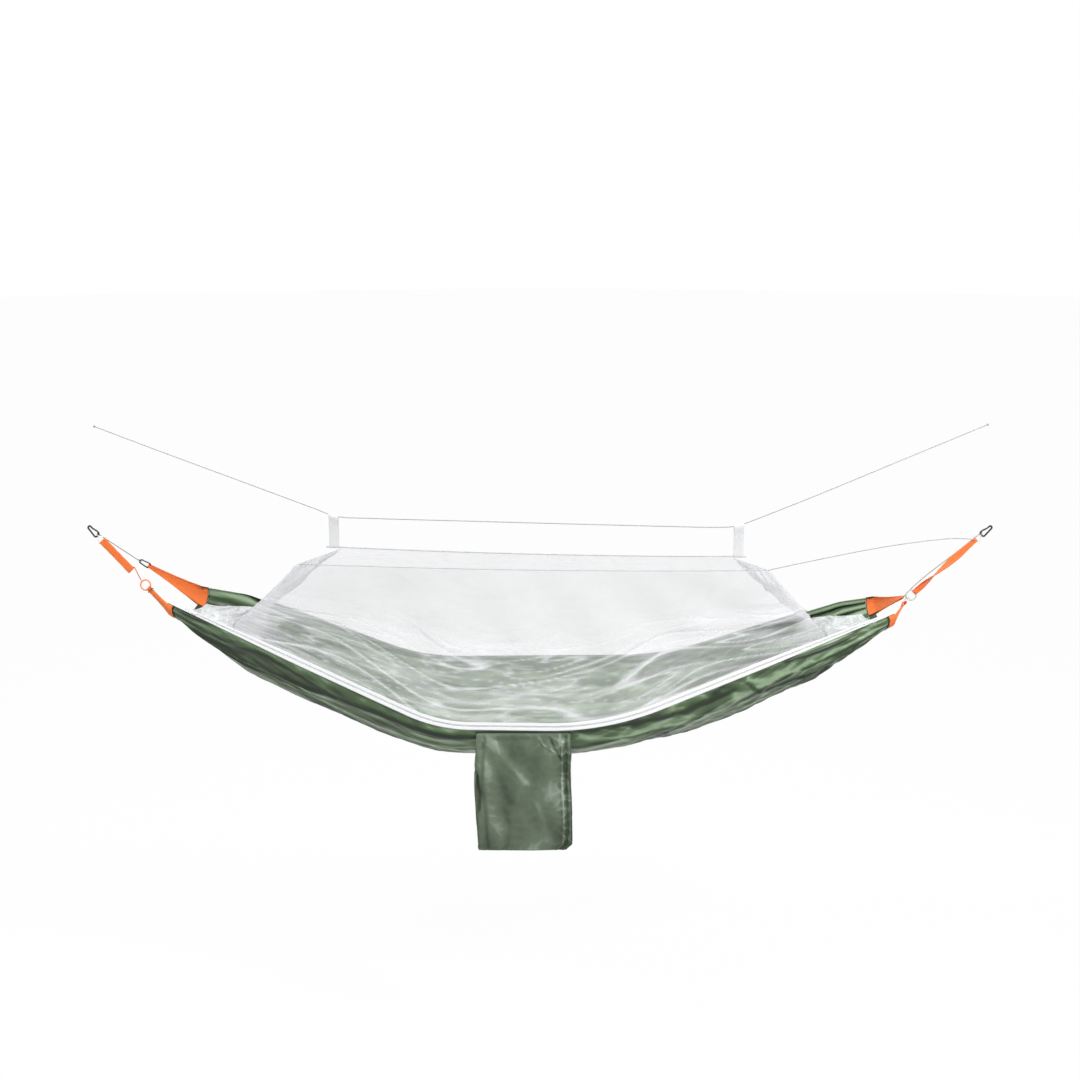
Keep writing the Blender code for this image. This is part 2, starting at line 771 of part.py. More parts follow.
def net_panel(first, last, rows, bulge):
    """Points of a net between two edges; bulge gives how far each point is moved."""
    grid = []
    for i in range(rows):
        share = i / (rows - 1)
        columns = len(first) - 1
        grid.append([mix(a, b, share) + bulge(share, j / columns)
                     for j, (a, b) in enumerate(zip(first, last))])
    return np.array(grid)


def sagging(first, last, sag, count):
    """Points of an edge that hangs a little between its ends."""
    places = [k / (count - 1) for k in range(count)]
    return [mix(first, last, share) - vec(0, 0, sag) * 4 * share * (1 - share) for share in places]


def from_edge(edge, towards, distance):
    return [a + unit(b - a) * distance for a, b in zip(edge, towards)]


def zip_slider(name, rim, share, downhill, paint_of):
    """Slider that is closed round the coil, with its bail and its pull.

    Returns the point and the axis on which the pull turns, and the way along the zip.
    """
    point, along, up, out = rim.frame(share)
    room = coil_width / 2 + seam_gap
    wall_half = room + slider_wall
    tape_half = zip_tape_thickness / 2 + seam_gap
    top = coil_height / 2 + seam_gap + slider_plate
    half = slider_width / 2
    quarter = [(half, -top), (half, -tape_half), (wall_half, -tape_half)]
    right = quarter + [(a, -b) for a, b in reversed(quarter)]
    outline = right + [(-a, b) for a, b in reversed(right)]
    rings = []
    for sign in (-0.5, 0.5):
        rings.append([point + along * slider_length * sign + up * a + out * b for a, b in outline])
    body = loft(name, rings, paint_of(name))
    channel_sizes = (2 * slider_length, 2 * room, coil_height + 2 * seam_gap)
    combine(body, box("channel", point, (along, up, out), channel_sizes, paint_of("channel")), "DIFFERENCE")
    reach = slider_length * bail_reach_share
    bar = top + bail_height
    bail_line = [(-reach, top - join_overrun), (-reach, bar - bail_rod), (-reach + bail_rod, bar),
                 (reach - bail_rod, bar), (reach, bar - bail_rod), (reach, top - join_overrun)]
    bail_points = [point + along * a + out * b for a, b in bail_line]
    combine(body, tube("bail", bail_points, bail_rod, paint_of("bail"), small_tube_sides), "UNION")
    # The end bar of the pull lies under the bail; its two arms pass on either side of it
    away = along * downhill
    pivot = point + away * (reach - bail_rod - pull_slack) + out * (top + bail_height / 2 - bail_rod / 2)
    pull_name = name.replace("slider", "pull")
    bar_half = pull_plate / 2
    pull = box(pull_name, pivot + away * (pull_length / 2 - bar_half), (away, up, out),
               (pull_length, pull_width, pull_plate), paint_of(pull_name))
    eye_length = 2 * (bail_rod + pull_slack) + pull_slack
    eye_sizes = (eye_length, 2 * (bail_rod + pull_slack), 2 * pull_plate)
    eye = box("eye", pivot + away * (bar_half + eye_length / 2), (away, up, out), eye_sizes, paint_of("eye"))
    combine(pull, eye, "DIFFERENCE")
    return pivot, -up * downhill, away


def stuff_sack(front, stations, tape_outer, paint_of):
    """Flat sack on a sewn flap under the zip; returns the middle of its hinge line."""
    left, right = sack_centre_x - sack_width / 2, sack_centre_x + sack_width / 2
    samples = np.linspace(0, 1, sack_samples)
    xs = [front.point(share)[0] for share in samples]
    start, end = np.interp(left, xs, samples), np.interp(right, xs, samples)
    flap_shares = shares_between(stations, start, end)
    flap_top = tape_outer + seam_gap
    half_tape = zip_tape_thickness / 2
    front.strip("sack_flap", flap_shares, (-flap_top - sack_flap, -flap_top), (-half_tape, half_tape),
                paint_of("sack_flap"))
    edges = [front.at(share, -flap_top - sack_flap) for share in flap_shares]
    lowest = min(edges, key=lambda edge: edge[2])
    hinge = vec(sack_centre_x, lowest[1], lowest[2])

    def outline(row):
        drop, depth = sack_drop_shares[row] * sack_height, sack_depth_shares[row] * sack_depth
        z = hinge[2] - sack_hinge_gap - drop
        back = hinge[1] - sack_standoff * sack_back_shares[row]
        sides = [sack_centre_x + sack_width * table[row] for table in (sack_left_shares, sack_right_shares)]
        return sides, back, back - depth, z

    backs, fronts, left_edge, right_edge = [], [], [], []
    rows = range(len(sack_drop_shares))
    for row in rows:
        (left, right), back, face, z = outline(row)
        swell = math.sin(math.pi * sack_drop_shares[row])
        line = np.linspace(left, right, sack_columns)
        backs.append([vec(x, back, z) for x in line])
        fronts.append([vec(x, face - sack_bulge * swell * math.sin(math.pi * k / (sack_columns - 1)), z)
                       for k, x in enumerate(line)])
        room = sack_cloth / 2 + seam_gap
        inset = sack_cloth / 2
        rise = inset if row == rows[-1] else 0.0
        left_edge.append([vec(left + inset, back - room, z + rise), vec(left + inset, face + room, z + rise)])
        right_edge.append([vec(right - inset, back - room, z + rise), vec(right - inset, face + room, z + rise)])
    sheet("sack_back_panel", np.array(backs), sack_cloth, paint_of("sack_back_panel"))
    sheet("sack_front_panel", np.array(fronts), sack_cloth, paint_of("sack_front_panel"))
    bottom = [[mix(a, b, k / sack_columns) for a, b in zip(left_edge[-1], right_edge[-1])]
              for k in range(1, sack_columns)]
    sheet("sack_gusset", np.array(left_edge + bottom + right_edge[::-1]), sack_cloth, paint_of("sack_gusset"))
    return hinge


def build():
    """Make every piece; returns the points and axes on which the moving ones turn."""
    clear_scene()
    anchor = bpy.data.objects.new("mid_span", None)
    bpy.context.scene.collection.objects.link(anchor)
    anchor.location = (hook_span / 2, 0, 0)
    facts = {}

    def cloth(name):
        return paint(name, (97, 110, 91), 0.55)

    def net(name):
        return paint(name, (236, 237, 238), 0.8, alpha=0.6)

    def orange(name):
        return paint(name, (226, 128, 78), 0.75)

    def white(name):
        return paint(name, (238, 238, 236), 0.7)

    def grey(name):
        return paint(name, (206, 207, 206), 0.7)

    def steel(name):
        return paint(name, (196, 196, 190), 0.3, metallic=1.0)

    def black(name):
        return paint(name, (28, 28, 30), 0.4)

    front = Rim(front_rim_corners, front_rim_radii, front_rim_end_y, front_rim_lean_share, -1)
    rear = Rim(rear_rim_corners, rear_rim_radii, rear_rim_end_y, rear_rim_lean_share, 1)
    stations = station_shares(bed_stations)

    # Bed with its two gathered ends
    grid = bed_grid(front, rear, stations)
    sheet("bed_fabric", grid, bed_cloth, cloth("bed_fabric"))
    left_hems = end_hem("left_end_hem", grid, True, cloth("left_end_hem"))
    right_hems = end_hem("right_end_hem", grid, False, cloth("right_end_hem"))

    # Zip along the front rim: two tapes with the coil between them
    shares = shares_between(stations, zip_start_share, 1 - zip_start_share)
    half_tape = zip_tape_thickness / 2
    tape_inner = coil_width / 2 + zip_slot
    tape_outer = tape_inner + zip_tape_width
    front.strip("zip_tape_lower", shares, (-tape_outer, -tape_inner), (-half_tape, half_tape),
                white("zip_tape_lower"))
    front.strip("zip_tape_upper", shares, (tape_inner, tape_outer), (-half_tape, half_tape),
                white("zip_tape_upper"))
    stop = zip_stop_length / front.length
    first_tooth = zip_start_share + stop + seam_gap / front.length
    half_coil = coil_height / 2
    front.strip("zip_coil", shares_between(stations, first_tooth, 1 - first_tooth),
                (-coil_width / 2, coil_width / 2), (-half_coil, half_coil), white("zip_coil"))
    half_stop = tape_inner - seam_gap
    for name, low in (("left_zip_stop", zip_start_share), ("right_zip_stop", 1 - zip_start_share - stop)):
        front.strip(name, [low, low + stop], (-half_stop, half_stop), (-half_coil, half_coil), steel(name))
    inset = slider_inset / front.length
    for name, share, downhill in (("left_zip_slider", zip_start_share + inset, 1),
                                  ("right_zip_slider", 1 - zip_start_share - inset, -1)):
        facts[name] = zip_slider(name, front, share, downhill, white)

    # Net roof, walls and ends
    corners = (roof_rear_left, roof_rear_right, roof_front_left, roof_front_right)
    rear_left, rear_right, front_left, front_right = [vec(*corner) for corner in corners]
    hem_reach = unit(rear_right - rear_left) * (ridge_tab_width + 2 * ridge_tab_offset)
    rear_line = sagging(rear_left, rear_right, roof_sag, net_columns)
    front_line = sagging(front_left, front_right, front_seam_sag, net_columns)
    tube("roof_rear_hem", [rear_left - hem_reach] + rear_line + [rear_right + hem_reach], hem_radius,
         white("roof_rear_hem"), small_tube_sides)
    tube("roof_front_seam", front_line, seam_radius, white("roof_front_seam"), small_tube_sides)
    half_net = net_cloth / 2 + seam_gap
    flat = lambda row, column: vec(0, 0, 0)
    panel = net_panel(from_edge(rear_line, front_line, hem_radius + half_net),
                      from_edge(front_line, rear_line, seam_radius + half_net), roof_rows, flat)
    sheet("net_roof", panel, net_cloth, net("net_roof"))

    wall_shares = stations[net_station:-net_station]
    count = len(wall_shares)
    behind_bed = bed_cloth / 2 + half_net
    foot = [rear.at(share, rear_binding_width - rear_lap + lap_inset, behind_bed) for share in wall_shares]
    inset = unit(rear_right - rear_left) * 2 * panel_inset
    high = from_edge(sagging(rear_left + inset, rear_right - inset, roof_sag, count), foot,
                     hem_radius + half_net)
    lap = [[rear.at(share, -rear_lap + lap_inset / 2, behind_bed) for share in wall_shares]]
    panel = np.concatenate((np.array(lap), net_panel(foot, high, wall_rows, flat)))
    sheet("net_rear_wall", panel, net_cloth, net("net_rear_wall"))
    binding_low = behind_bed + half_net
    rear.strip("rear_rim_binding", wall_shares, (-rear_lap, rear_binding_width - rear_lap),
               (binding_low, binding_low + webbing_cloth), white("rear_rim_binding"))

    def slack(row, column):
        inside = math.sin(math.pi * row) * ease(net_rise_count * min(column, 1 - column))
        wave = math.sin(2 * math.pi * (net_fold_count * column + row))
        return vec(0, (net_slack + net_fold_height * wave) * inside, 0)

    behind_tape = -half_tape - half_net
    foot = [front.at(share, tape_outer + lap_inset, behind_tape) for share in wall_shares]
    high = from_edge(sagging(front_left, front_right, front_seam_sag, count), foot, seam_radius + half_net)
    lap = [[front.at(share, tape_outer - lap_inset * 3, behind_tape) for share in wall_shares]]
    panel = np.concatenate((np.array(lap), net_panel(foot, high, wall_rows + 2, slack)))
    sheet("net_front_wall", panel, net_cloth, net("net_front_wall"))

    # The end panels come down from the roof to between the rims, and on to the bed's inner face
    normals = grid_normals(grid)
    lift = bed_cloth / 2 + half_net
    columns = range(end_first_column, bed_columns - end_first_column)
    for name, row, corner_front, corner_rear, sign in (
            ("net_left_end", net_station, front_left, rear_left, -1),
            ("net_right_end", bed_stations - 1 - net_station, front_right, rear_right, 1)):
        middle = mix(grid[row][0], grid[row][-1], 0.5)
        foot = []
        for j in columns:
            inward = normals[row][j] * np.sign(np.dot(normals[row][j], middle - grid[row][j]))
            foot.append(grid[row][j] + inward * lift)
        share = stations[row]
        between = sagging(front.at(share, tape_outer + lap_inset, behind_tape - net_cloth - seam_gap),
                          rear.at(share, rear_binding_width, -lift), 0.0, len(foot))
        out = vec(sign, 0, 0)
        way = unit(corner_rear - corner_front)
        top = sagging(corner_front + (out + way) * 2 * panel_inset,
                      corner_rear - vec(0, 0, 2 * panel_inset) - way * (hem_radius + 2 * panel_inset), 0.0,
                      len(foot))
        hang = lambda r, c: vec(0, 0, -end_panel_slack) * math.sin(math.pi * r) * math.sin(math.pi * c)
        panel = np.concatenate((np.array([foot]), net_panel(between, top, end_rows, hang)))
        sheet(name, panel, net_cloth, net(name))

    # Ridge line with its two webbing tabs, which carry the rear edge of the roof
    ridge_points = smooth_route(ridge_route, route_steps)
    cord("ridge_cord", ridge_points, cord_radius, grey("ridge_cord"))
    for name, place, towards in (("left_ridge_knot", 0, 1), ("right_ridge_knot", -1, -2)):
        away = unit(ridge_points[place] - ridge_points[towards])
        knot(name, ridge_points[place] + away * seam_gap, away, ridge_knot_radius, grey(name))
    hem_line = unit(rear_right - rear_left)
    for name, corner, sign in (("left_ridge_tab", rear_left, -1), ("right_ridge_tab", rear_right, 1)):
        foot = corner + hem_line * sign * (ridge_tab_width / 2 + ridge_tab_offset)
        head, slope = seat_below(ridge_points, foot[0], ridge_tab_width, ridge_tab_eye)
        rings = strap_sections(head, foot, ridge_tab_eye, hem_radius + seam_gap, slope, hem_line,
                               ridge_tab_width, ridge_tab_width, ridge_tab_width)
        loft(name, rings, white(name), closed=True)
    guy_way = unit(vec(*guy_route[0]) - front_right)
    guy_points = smooth_route([front_right + guy_way * guy_start] + guy_route, route_steps)
    cord("corner_guy_cord", guy_points, seam_radius, grey("corner_guy_cord"))

    # Left end: hook, link, strap, cord, ring and front tab lie in one taut line
    front_hem, rear_hem = left_hems
    bearing = vec(-hook_span / 2, 0, 0)
    down = unit(middle_of(front_hem) - bearing)
    across = unit(np.cross(down, vec(0, 1, 0)))
    bow, turned = snap_hook("left_hook", bearing, down, across, hook_sizes, (black, steel))
    facts["left_hook"] = turned
    base = strap_link("left_strap_link", bow, down, across, white)
    foot = base + down * left_strap_length
    rings = strap_sections(base, foot, link_rod + seam_gap, strap_cord_radius + seam_gap, across, across,
                           strap_width, strap_width, strap_width)
    loft("left_strap", rings, orange("left_strap"), closed=True)
    centre = foot + down * (left_cord_drop + ring_radius)
    half = strap_width / 2
    turn = strap_cord_radius + 2 * seam_gap
    strap_cord_route = [foot - across * half, foot + across * (half + seam_gap),
                        foot + across * (half + turn) + down * turn / 2,
                        foot + across * (half + turn) + down * 2 * turn,
                        foot + across * half + down * strap_cord_turn,
                        centre - down * (ring_radius + ring_rod + 3 * seam_gap)]
    cord("left_strap_cord", smooth_route(strap_cord_route, route_steps), strap_cord_radius,
         orange("left_strap_cord"))
    ring("left_ring", centre, across, down, ring_radius, ring_rod, orange("left_ring"))
    eye = centre + down * ring_radius
    room = eye_room(ring_rod, ring_radius, front_tab_start_width)
    rings = tab_sections(eye, room, across, front_tab_start_width, front_hem)
    loft("left_front_tab", rings, orange("left_front_tab"))
    tie_round("left_tab_tie", eye, across, room, front_hem, black)

    rear_line = unit(middle_of(rear_hem) - bow)
    clip_bow = middle_of(rear_hem) - rear_line * left_rear_tab_length
    clip_across = unit(np.cross(rear_line, vec(0, 1, 0)))
    clip_bearing = clip_bow - rear_line * (clip_sizes["length"] - 3 * clip_sizes["rod"])
    clip_bow, turned = snap_hook("left_clip", clip_bearing, rear_line, clip_across, clip_sizes, (black, steel))
    facts["left_clip"] = turned
    lay = across * hook_cord_side
    wire = clip_bearing - rear_line * clip_sizes["rod"]
    route = cord_turn(bow + lay, down, -np.cross(across, down), hook_sizes["rod"], hook_cord_clearance,
                      hook_tail_length)
    route += cord_turn(wire, -rear_line, np.cross(clip_across, rear_line), clip_sizes["rod"],
                       2 * seam_gap, cord_tail_length, arriving=True)
    cord("left_hook_cord", route, cord_radius, grey("left_hook_cord"))
    room = eye_room(clip_sizes["rod"], clip_sizes["corner"], rear_tab_start_width)
    rings = tab_sections(clip_bow, room, clip_across, rear_tab_start_width, rear_hem)
    loft("left_rear_tab", rings, orange("left_rear_tab"))

    # Right end: a twisted strap to the ring, a small ring to the front tab, a cord to the rear one
    front_hem, rear_hem = right_hems
    bearing = vec(hook_span / 2, 0, 0)
    centre = vec(*right_ring_at)
    down = unit(centre - bearing)
    across = unit(np.cross(vec(0, 1, 0), down))
    out = np.cross(across, down)
    bow, turned = snap_hook("right_hook", bearing, down, across, hook_sizes, (black, steel))
    facts["right_hook"] = turned
    facts["right_bow"] = (bow, across)
    base = strap_link("right_strap_link", bow, down, across, white)
    rings = strap_sections(base, centre - down * ring_radius, link_rod + seam_gap,
                           eye_room(ring_rod, ring_radius, right_strap_eye_width), across, across,
                           right_strap_top_width, right_strap_eye_width, strap_width, 1.0, twisted_steps)
    loft("right_strap", rings, orange("right_strap"), closed=True)
    ring("right_ring", centre, across, down, ring_radius, ring_rod, steel("right_ring"))
    towards = unit(middle_of(front_hem) - centre)
    link_point = centre + unit(towards - out * np.dot(towards, out)) * ring_radius
    towards = unit(middle_of(front_hem) - link_point)
    small_side = unit(out - towards * np.dot(out, towards))
    small_centre = link_point + towards * (small_ring_radius - ring_rod - small_ring_rod - seam_gap)
    ring("right_small_ring", small_centre, small_side, towards, small_ring_radius, small_ring_rod,
         steel("right_small_ring"))
    room = eye_room(small_ring_rod, small_ring_radius, front_tab_start_width)
    rings = tab_sections(small_centre + towards * small_ring_radius, room, small_side,
                         front_tab_start_width, front_hem)
    loft("right_front_tab", rings, orange("right_front_tab"))
    eye = vec(*right_rear_eye)
    line = unit(middle_of(rear_hem) - eye)
    lay = unit(vec(0, 1, 0) - line * line[1])
    rings = tab_sections(eye, cord_radius + seam_gap, lay, rear_tab_start_width, rear_hem)
    loft("right_rear_tab", rings, orange("right_rear_tab"))
    half = rear_tab_start_width / 2
    route = cord_turn(bow + across * hook_cord_side, down, out, hook_sizes["rod"], hook_cord_clearance,
                      hook_tail_length)
    rest = [vec(*point) for point in right_cord_route]
    rest += [eye + lay * (half + cord_tail_length / 2) - line * cord_tail_length / 3,
             eye + lay * (half + cord_radius), eye, eye - lay * half]
    route += smooth_route([route[-1]] + rest, route_steps)[1:]
    cord("right_hook_cord", route, cord_radius, grey("right_hook_cord"))

    facts["sack"] = stuff_sack(front, stations, tape_outer, cloth)
    return facts


facts = build()
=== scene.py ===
# Camping hammock with a mosquito net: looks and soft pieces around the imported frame
import math
import bmesh
import bpy
import numpy as np
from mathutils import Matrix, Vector, noise
from mathutils.bvhtree import BVHTree


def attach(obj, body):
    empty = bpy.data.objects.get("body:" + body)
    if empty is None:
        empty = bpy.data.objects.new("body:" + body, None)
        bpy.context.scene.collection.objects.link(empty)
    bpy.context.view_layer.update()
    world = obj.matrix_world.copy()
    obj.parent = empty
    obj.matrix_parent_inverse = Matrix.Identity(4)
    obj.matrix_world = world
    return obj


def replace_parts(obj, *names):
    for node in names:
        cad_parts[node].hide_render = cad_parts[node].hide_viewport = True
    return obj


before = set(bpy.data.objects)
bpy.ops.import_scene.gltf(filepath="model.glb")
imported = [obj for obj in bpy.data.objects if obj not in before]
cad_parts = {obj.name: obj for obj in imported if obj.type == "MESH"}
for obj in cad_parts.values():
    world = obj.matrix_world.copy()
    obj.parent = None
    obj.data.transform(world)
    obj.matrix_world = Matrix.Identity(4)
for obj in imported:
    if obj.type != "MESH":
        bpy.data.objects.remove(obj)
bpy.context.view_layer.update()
print("frame loaded")

midSpan = 1.53  # x of the middle between the two hook tips


def point(x, y, z):
    return np.array((x + midSpan, y, z), dtype=float)


def unit(vector):
    return vector / np.linalg.norm(vector, axis=-1, keepdims=True)


def blend(first, second, share):
    return first * (1 - share) + second * share


def ease(share):
    share = np.clip(share, 0.0, 1.0)
    return share * share * (3 - 2 * share)


def even(count):
    return np.linspace(0, 1, count)


def linear(channel):
    channel = channel / 255
    return channel / 12.92 if channel <= 0.04045 else ((channel + 0.055) / 1.055) ** 2.4


def colour(red, green, blue):
    return (linear(red), linear(green), linear(blue), 1.0)


def shaded(shade, factor, lift=0.0):
    return tuple(min(1, part * factor + lift) for part in shade[:3]) + (1.0,)


def softNoise(x, y, seed):
    return noise.noise(Vector((x, y, seed)))


def noiseOver(x, y, seed):
    # the same noise for whole arrays of places
    x, y = np.broadcast_arrays(x, y)
    return np.array([softNoise(a, b, seed) for a, b in zip(x.ravel(), y.ravel())]).reshape(x.shape)


def distances(points):
    # how far along a line each of its points is
    return np.concatenate(([0.0], np.cumsum(np.linalg.norm(np.diff(points, axis=0), axis=1))))


def interpolated(places, distance, points):
    return np.stack([np.interp(places, distance, points[:, k]) for k in range(3)], -1)


class Field:
    # a socket or a number in a material, so that maths reads as maths
    def __init__(self, finish, socket):
        self.finish, self.socket = finish, socket

    def maths(self, operation, *values):
        return self.finish.add("ShaderNodeMath", {"operation": operation}, dict(enumerate(values)))

    def __add__(self, other):
        return self.maths("ADD", self, other)

    __radd__ = __add__

    def __sub__(self, other):
        return self.maths("SUBTRACT", self, other)

    def __rsub__(self, other):
        return self.maths("SUBTRACT", other, self)

    def __mul__(self, other):
        return self.maths("MULTIPLY", self, other)

    __rmul__ = __mul__

    def sine(self):
        return self.maths("SINE", self)

    def within(self, low, high):
        return self.finish.add("ShaderNodeClamp", {}, {0: self, 1: low, 2: high})


class Finish:
    # one material or world; add() makes any node from its type, its settings and its inputs
    def __init__(self, name, owner=None):
        self.material = (bpy.data.materials if owner is None else owner).new(name)
        self.material.use_nodes = True
        self.tree = self.material.node_tree
        self.shader = self.tree.nodes.get("Principled BSDF")

    def feed(self, socket, value):
        if isinstance(value, Field):
            self.tree.links.new(value.socket, socket)
        else:
            socket.default_value = value

    def add(self, kind, settings, inputs, output=0):
        node = self.tree.nodes.new(kind)
        for key, value in settings.items():
            setattr(node, key, value)
        for key, value in inputs.items():
            self.feed(node.inputs[key], value)
        return Field(self, node.outputs[output])

    def place(self):
        return self.add("ShaderNodeTexCoord", {}, {}, "Object")

    def along(self, place, axis):
        return self.add("ShaderNodeVectorMath", {"operation": "DOT_PRODUCT"},
                        {0: place, 1: tuple(float(part) for part in axis)}, "Value")

    def noise(self, place, scale, detail=3.0, rough=0.5):
        inputs = {"Vector": place, "Scale": scale, "Detail": detail, "Roughness": rough}
        return self.add("ShaderNodeTexNoise", {}, inputs)

    def attribute(self, name):
        return self.add("ShaderNodeAttribute", {"attribute_name": name}, {}, "Fac")

    def mixColour(self, factor, first, second):
        return self.add("ShaderNodeMix", {"data_type": "RGBA"}, {0: factor, 6: first, 7: second}, 2)

    def bump(self, height, distance, strength=1.0):
        return self.add("ShaderNodeBump", {}, {"Height": height, "Distance": distance, "Strength": strength})

    def wire(self, **inputs):
        for key, value in inputs.items():
            self.feed(self.shader.inputs[key.replace("_", " ")], value)
        return self.material

    def seen(self):
        # 1 for the camera and for what mirrors and glass show
        path = self.add("ShaderNodeLightPath", {}, {}, "Is Camera Ray")
        total = path
        for name in ("Is Glossy Ray", "Is Transmission Ray"):
            total = total + Field(self, path.socket.node.outputs[name])
        return total.within(0, 1)

    def show(self, output, factor, first, second):
        mixed = self.add("ShaderNodeMixShader", {}, {0: factor, 1: first, 2: second})
        self.tree.links.new(mixed.socket, self.tree.nodes[output].inputs["Surface"])


# nylon colours: deep is painted shade for creases and hollows, lit is a painted highlight for ridges and satin
# folds
nylonLook = {
    "base": colour(82, 104, 72), "deep": colour(14, 26, 12), "lit": colour(158, 182, 150), "roughness": 0.3,
    "weave": 0.00042, "sheen": 0.06, "cloud": 5.0, "crinkle": 38.0, "bump": 0.0011}
netLook = {"base": colour(243, 243, 247), "alpha": 0.125, "creaseAlpha": 0.42}
orangeLook = {"base": colour(240, 122, 50), "deep": colour(220, 100, 36), "rib": 0.0013, "pick": 0.0017}
whiteLook = {"base": colour(228, 229, 230), "deep": colour(212, 213, 215), "rib": 0.0009, "pick": 0.0011}
cordLook = {"base": colour(188, 190, 191), "deep": colour(152, 154, 155), "pitch": 0.0022}


def nylonFinish(name, look):
    f = Finish(name)
    place = f.place()
    # the fold attribute holds painted light and shade from the mesh: low values darken toward deep as painted
    # shade, high values mix toward lit as painted highlight
    fold = f.attribute("fold")
    cloudy = f.noise(place, look["cloud"], 4.0)
    tone = f.mixColour(fold * 1.5 + cloudy * 0.5 - 0.1, look["deep"], look["base"])
    tone = f.mixColour(((fold - 0.6) * 1.9).within(0, 0.75), tone, look["lit"])
    step = 2 * math.pi / look["weave"]
    weave = f.along(place, (step, 0.2 * step, 0)).sine() * f.along(place, (0, 0.3 * step, step)).sine()
    crinkle = f.noise(place, look["crinkle"], 5.0, 0.6)
    rough = look["roughness"] + f.noise(place, 16.0) * 0.12
    bump = f.bump(crinkle * 0.9 + weave * 0.05, look["bump"], 0.55)
    return f.wire(Base_Color=tone, Roughness=rough, Normal=bump, Sheen_Weight=look["sheen"],
                  Sheen_Roughness=0.4, Specular_IOR_Level=0.35)


def netFinish(name, look):
    f = Finish(name)
    place = f.place()
    crease = f.attribute("crease")
    knots = f.noise(place, 9.0, 3.0)
    tone = f.mixColour(knots, look["base"], shaded(look["base"], 0.96))
    alpha = (look["alpha"] + crease * look["creaseAlpha"] + (knots - 0.5) * 0.06).within(0.05, 1.0)
    return f.wire(Base_Color=tone, Roughness=0.85, Alpha=alpha, Specular_IOR_Level=0.1)


def wovenFinish(name, look, along, across):
    # webbing or tape: ribs along it and picks across it
    f = Finish(name)
    place = f.place()
    ribs = f.along(place, np.asarray(across) * 2 * math.pi / look["rib"]).sine()
    picks = f.along(place, np.asarray(along) * 2 * math.pi / look["pick"]).sine()
    weave = ribs * picks
    worn = f.noise(place, 60.0, 4.0)
    tone = f.mixColour(0.6 + weave * 0.1 + (worn - 0.5) * 0.5, look["deep"], look["base"])
    bump = f.bump(weave * 0.5 + ribs * 0.3 + worn * 0.4, 0.0003, 0.45)
    return f.wire(Base_Color=tone, Roughness=0.72 + worn * 0.1, Normal=bump, Sheen_Weight=0.15)


def cordFinish(name, look, along):
    f = Finish(name)
    place = f.place()
    step = 2 * math.pi / look["pitch"]
    turns = f.along(place, np.asarray(along) * step)
    one, other = f.along(place, (0, step, step)), f.along(place, (0, step, -step))
    braid = (turns + one).sine() * (turns - other).sine()
    tone = f.mixColour(0.55 + braid * 0.4, look["deep"], look["base"])
    return f.wire(Base_Color=tone, Roughness=0.7, Normal=f.bump(braid, 0.0003))


def metalFinish(name, base, roughness, metallic):
    f = Finish(name)
    place = f.place()
    grain = f.add("ShaderNodeMapping", {}, {"Vector": place, "Scale": (40.0, 900.0, 900.0)})
    brushed = f.noise(grain, 1.0, 3.0)
    worn = f.noise(place, 240.0, 4.0)
    tone = f.mixColour(worn * 1.4 - 0.4, base, shaded(base, 1.25, 0.004))
    return f.wire(Base_Color=tone, Metallic=metallic, Roughness=roughness + brushed * 0.06,
                  Normal=f.bump(brushed * 0.5 + worn * 0.5, 0.00006))


def mouldedFinish(name, base, roughness, rib, axis):
    f = Finish(name)
    place = f.place()
    ribs = f.along(place, np.asarray(axis) * 2 * math.pi / rib).sine()
    speck = f.noise(place, 300.0)
    tone = f.mixColour(0.6 + ribs * 0.4, shaded(base, 0.86), base)
    return f.wire(Base_Color=tone, Roughness=roughness + speck * 0.1, Normal=f.bump(ribs, 0.0002, 0.6))


def addObject(name, data):
    thing = bpy.data.objects.new(name, data)
    bpy.context.scene.collection.objects.link(thing)
    return thing


def meshFrom(work, name):
    mesh = bpy.data.meshes.new(name)
    work.to_mesh(mesh)
    work.free()
    return mesh


def asPiece(name, mesh, material, body="hammock"):
    mesh.materials.clear()
    mesh.materials.append(material)
    mesh.shade_smooth()
    piece = addObject(name, mesh)
    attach(piece, body)
    return piece


def gridPiece(name, grid, material, values=None, thickness=0.0, closed=False, body="hammock"):
    rows, columns = grid.shape[:2]
    lowEdges = [(i * columns + j, i * columns + (j + 1) % columns)
                for i in range(rows - 1) for j in range(columns if closed else columns - 1)]
    faces = [(a, b, b + columns, a + columns) for a, b in lowEdges]
    mesh = bpy.data.meshes.new(name)
    mesh.from_pydata([tuple(p) for p in grid.reshape(-1, 3)], [], faces)
    if values:
        layer = mesh.attributes.new(values[0], "FLOAT", "POINT")
        layer.data.foreach_set("value", np.asarray(values[1], dtype=np.float32).ravel())
    piece = asPiece(name, mesh, material, body)
    if thickness:
        skin = piece.modifiers.new("skin", "SOLIDIFY")
        skin.thickness, skin.offset = thickness, 0.0
    return piece


def gridNormals(grid):
    normals = np.cross(np.gradient(grid, axis=0), np.gradient(grid, axis=1))
    return normals / np.maximum(np.linalg.norm(normals, axis=2, keepdims=True), 1e-9)


def mainAxes(node):
    # the ways in which a node is longest, next longest and thinnest
    points = np.array([v.co[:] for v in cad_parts[node].data.vertices])
    return np.linalg.svd(points - points.mean(0), full_matrices=False)[2]


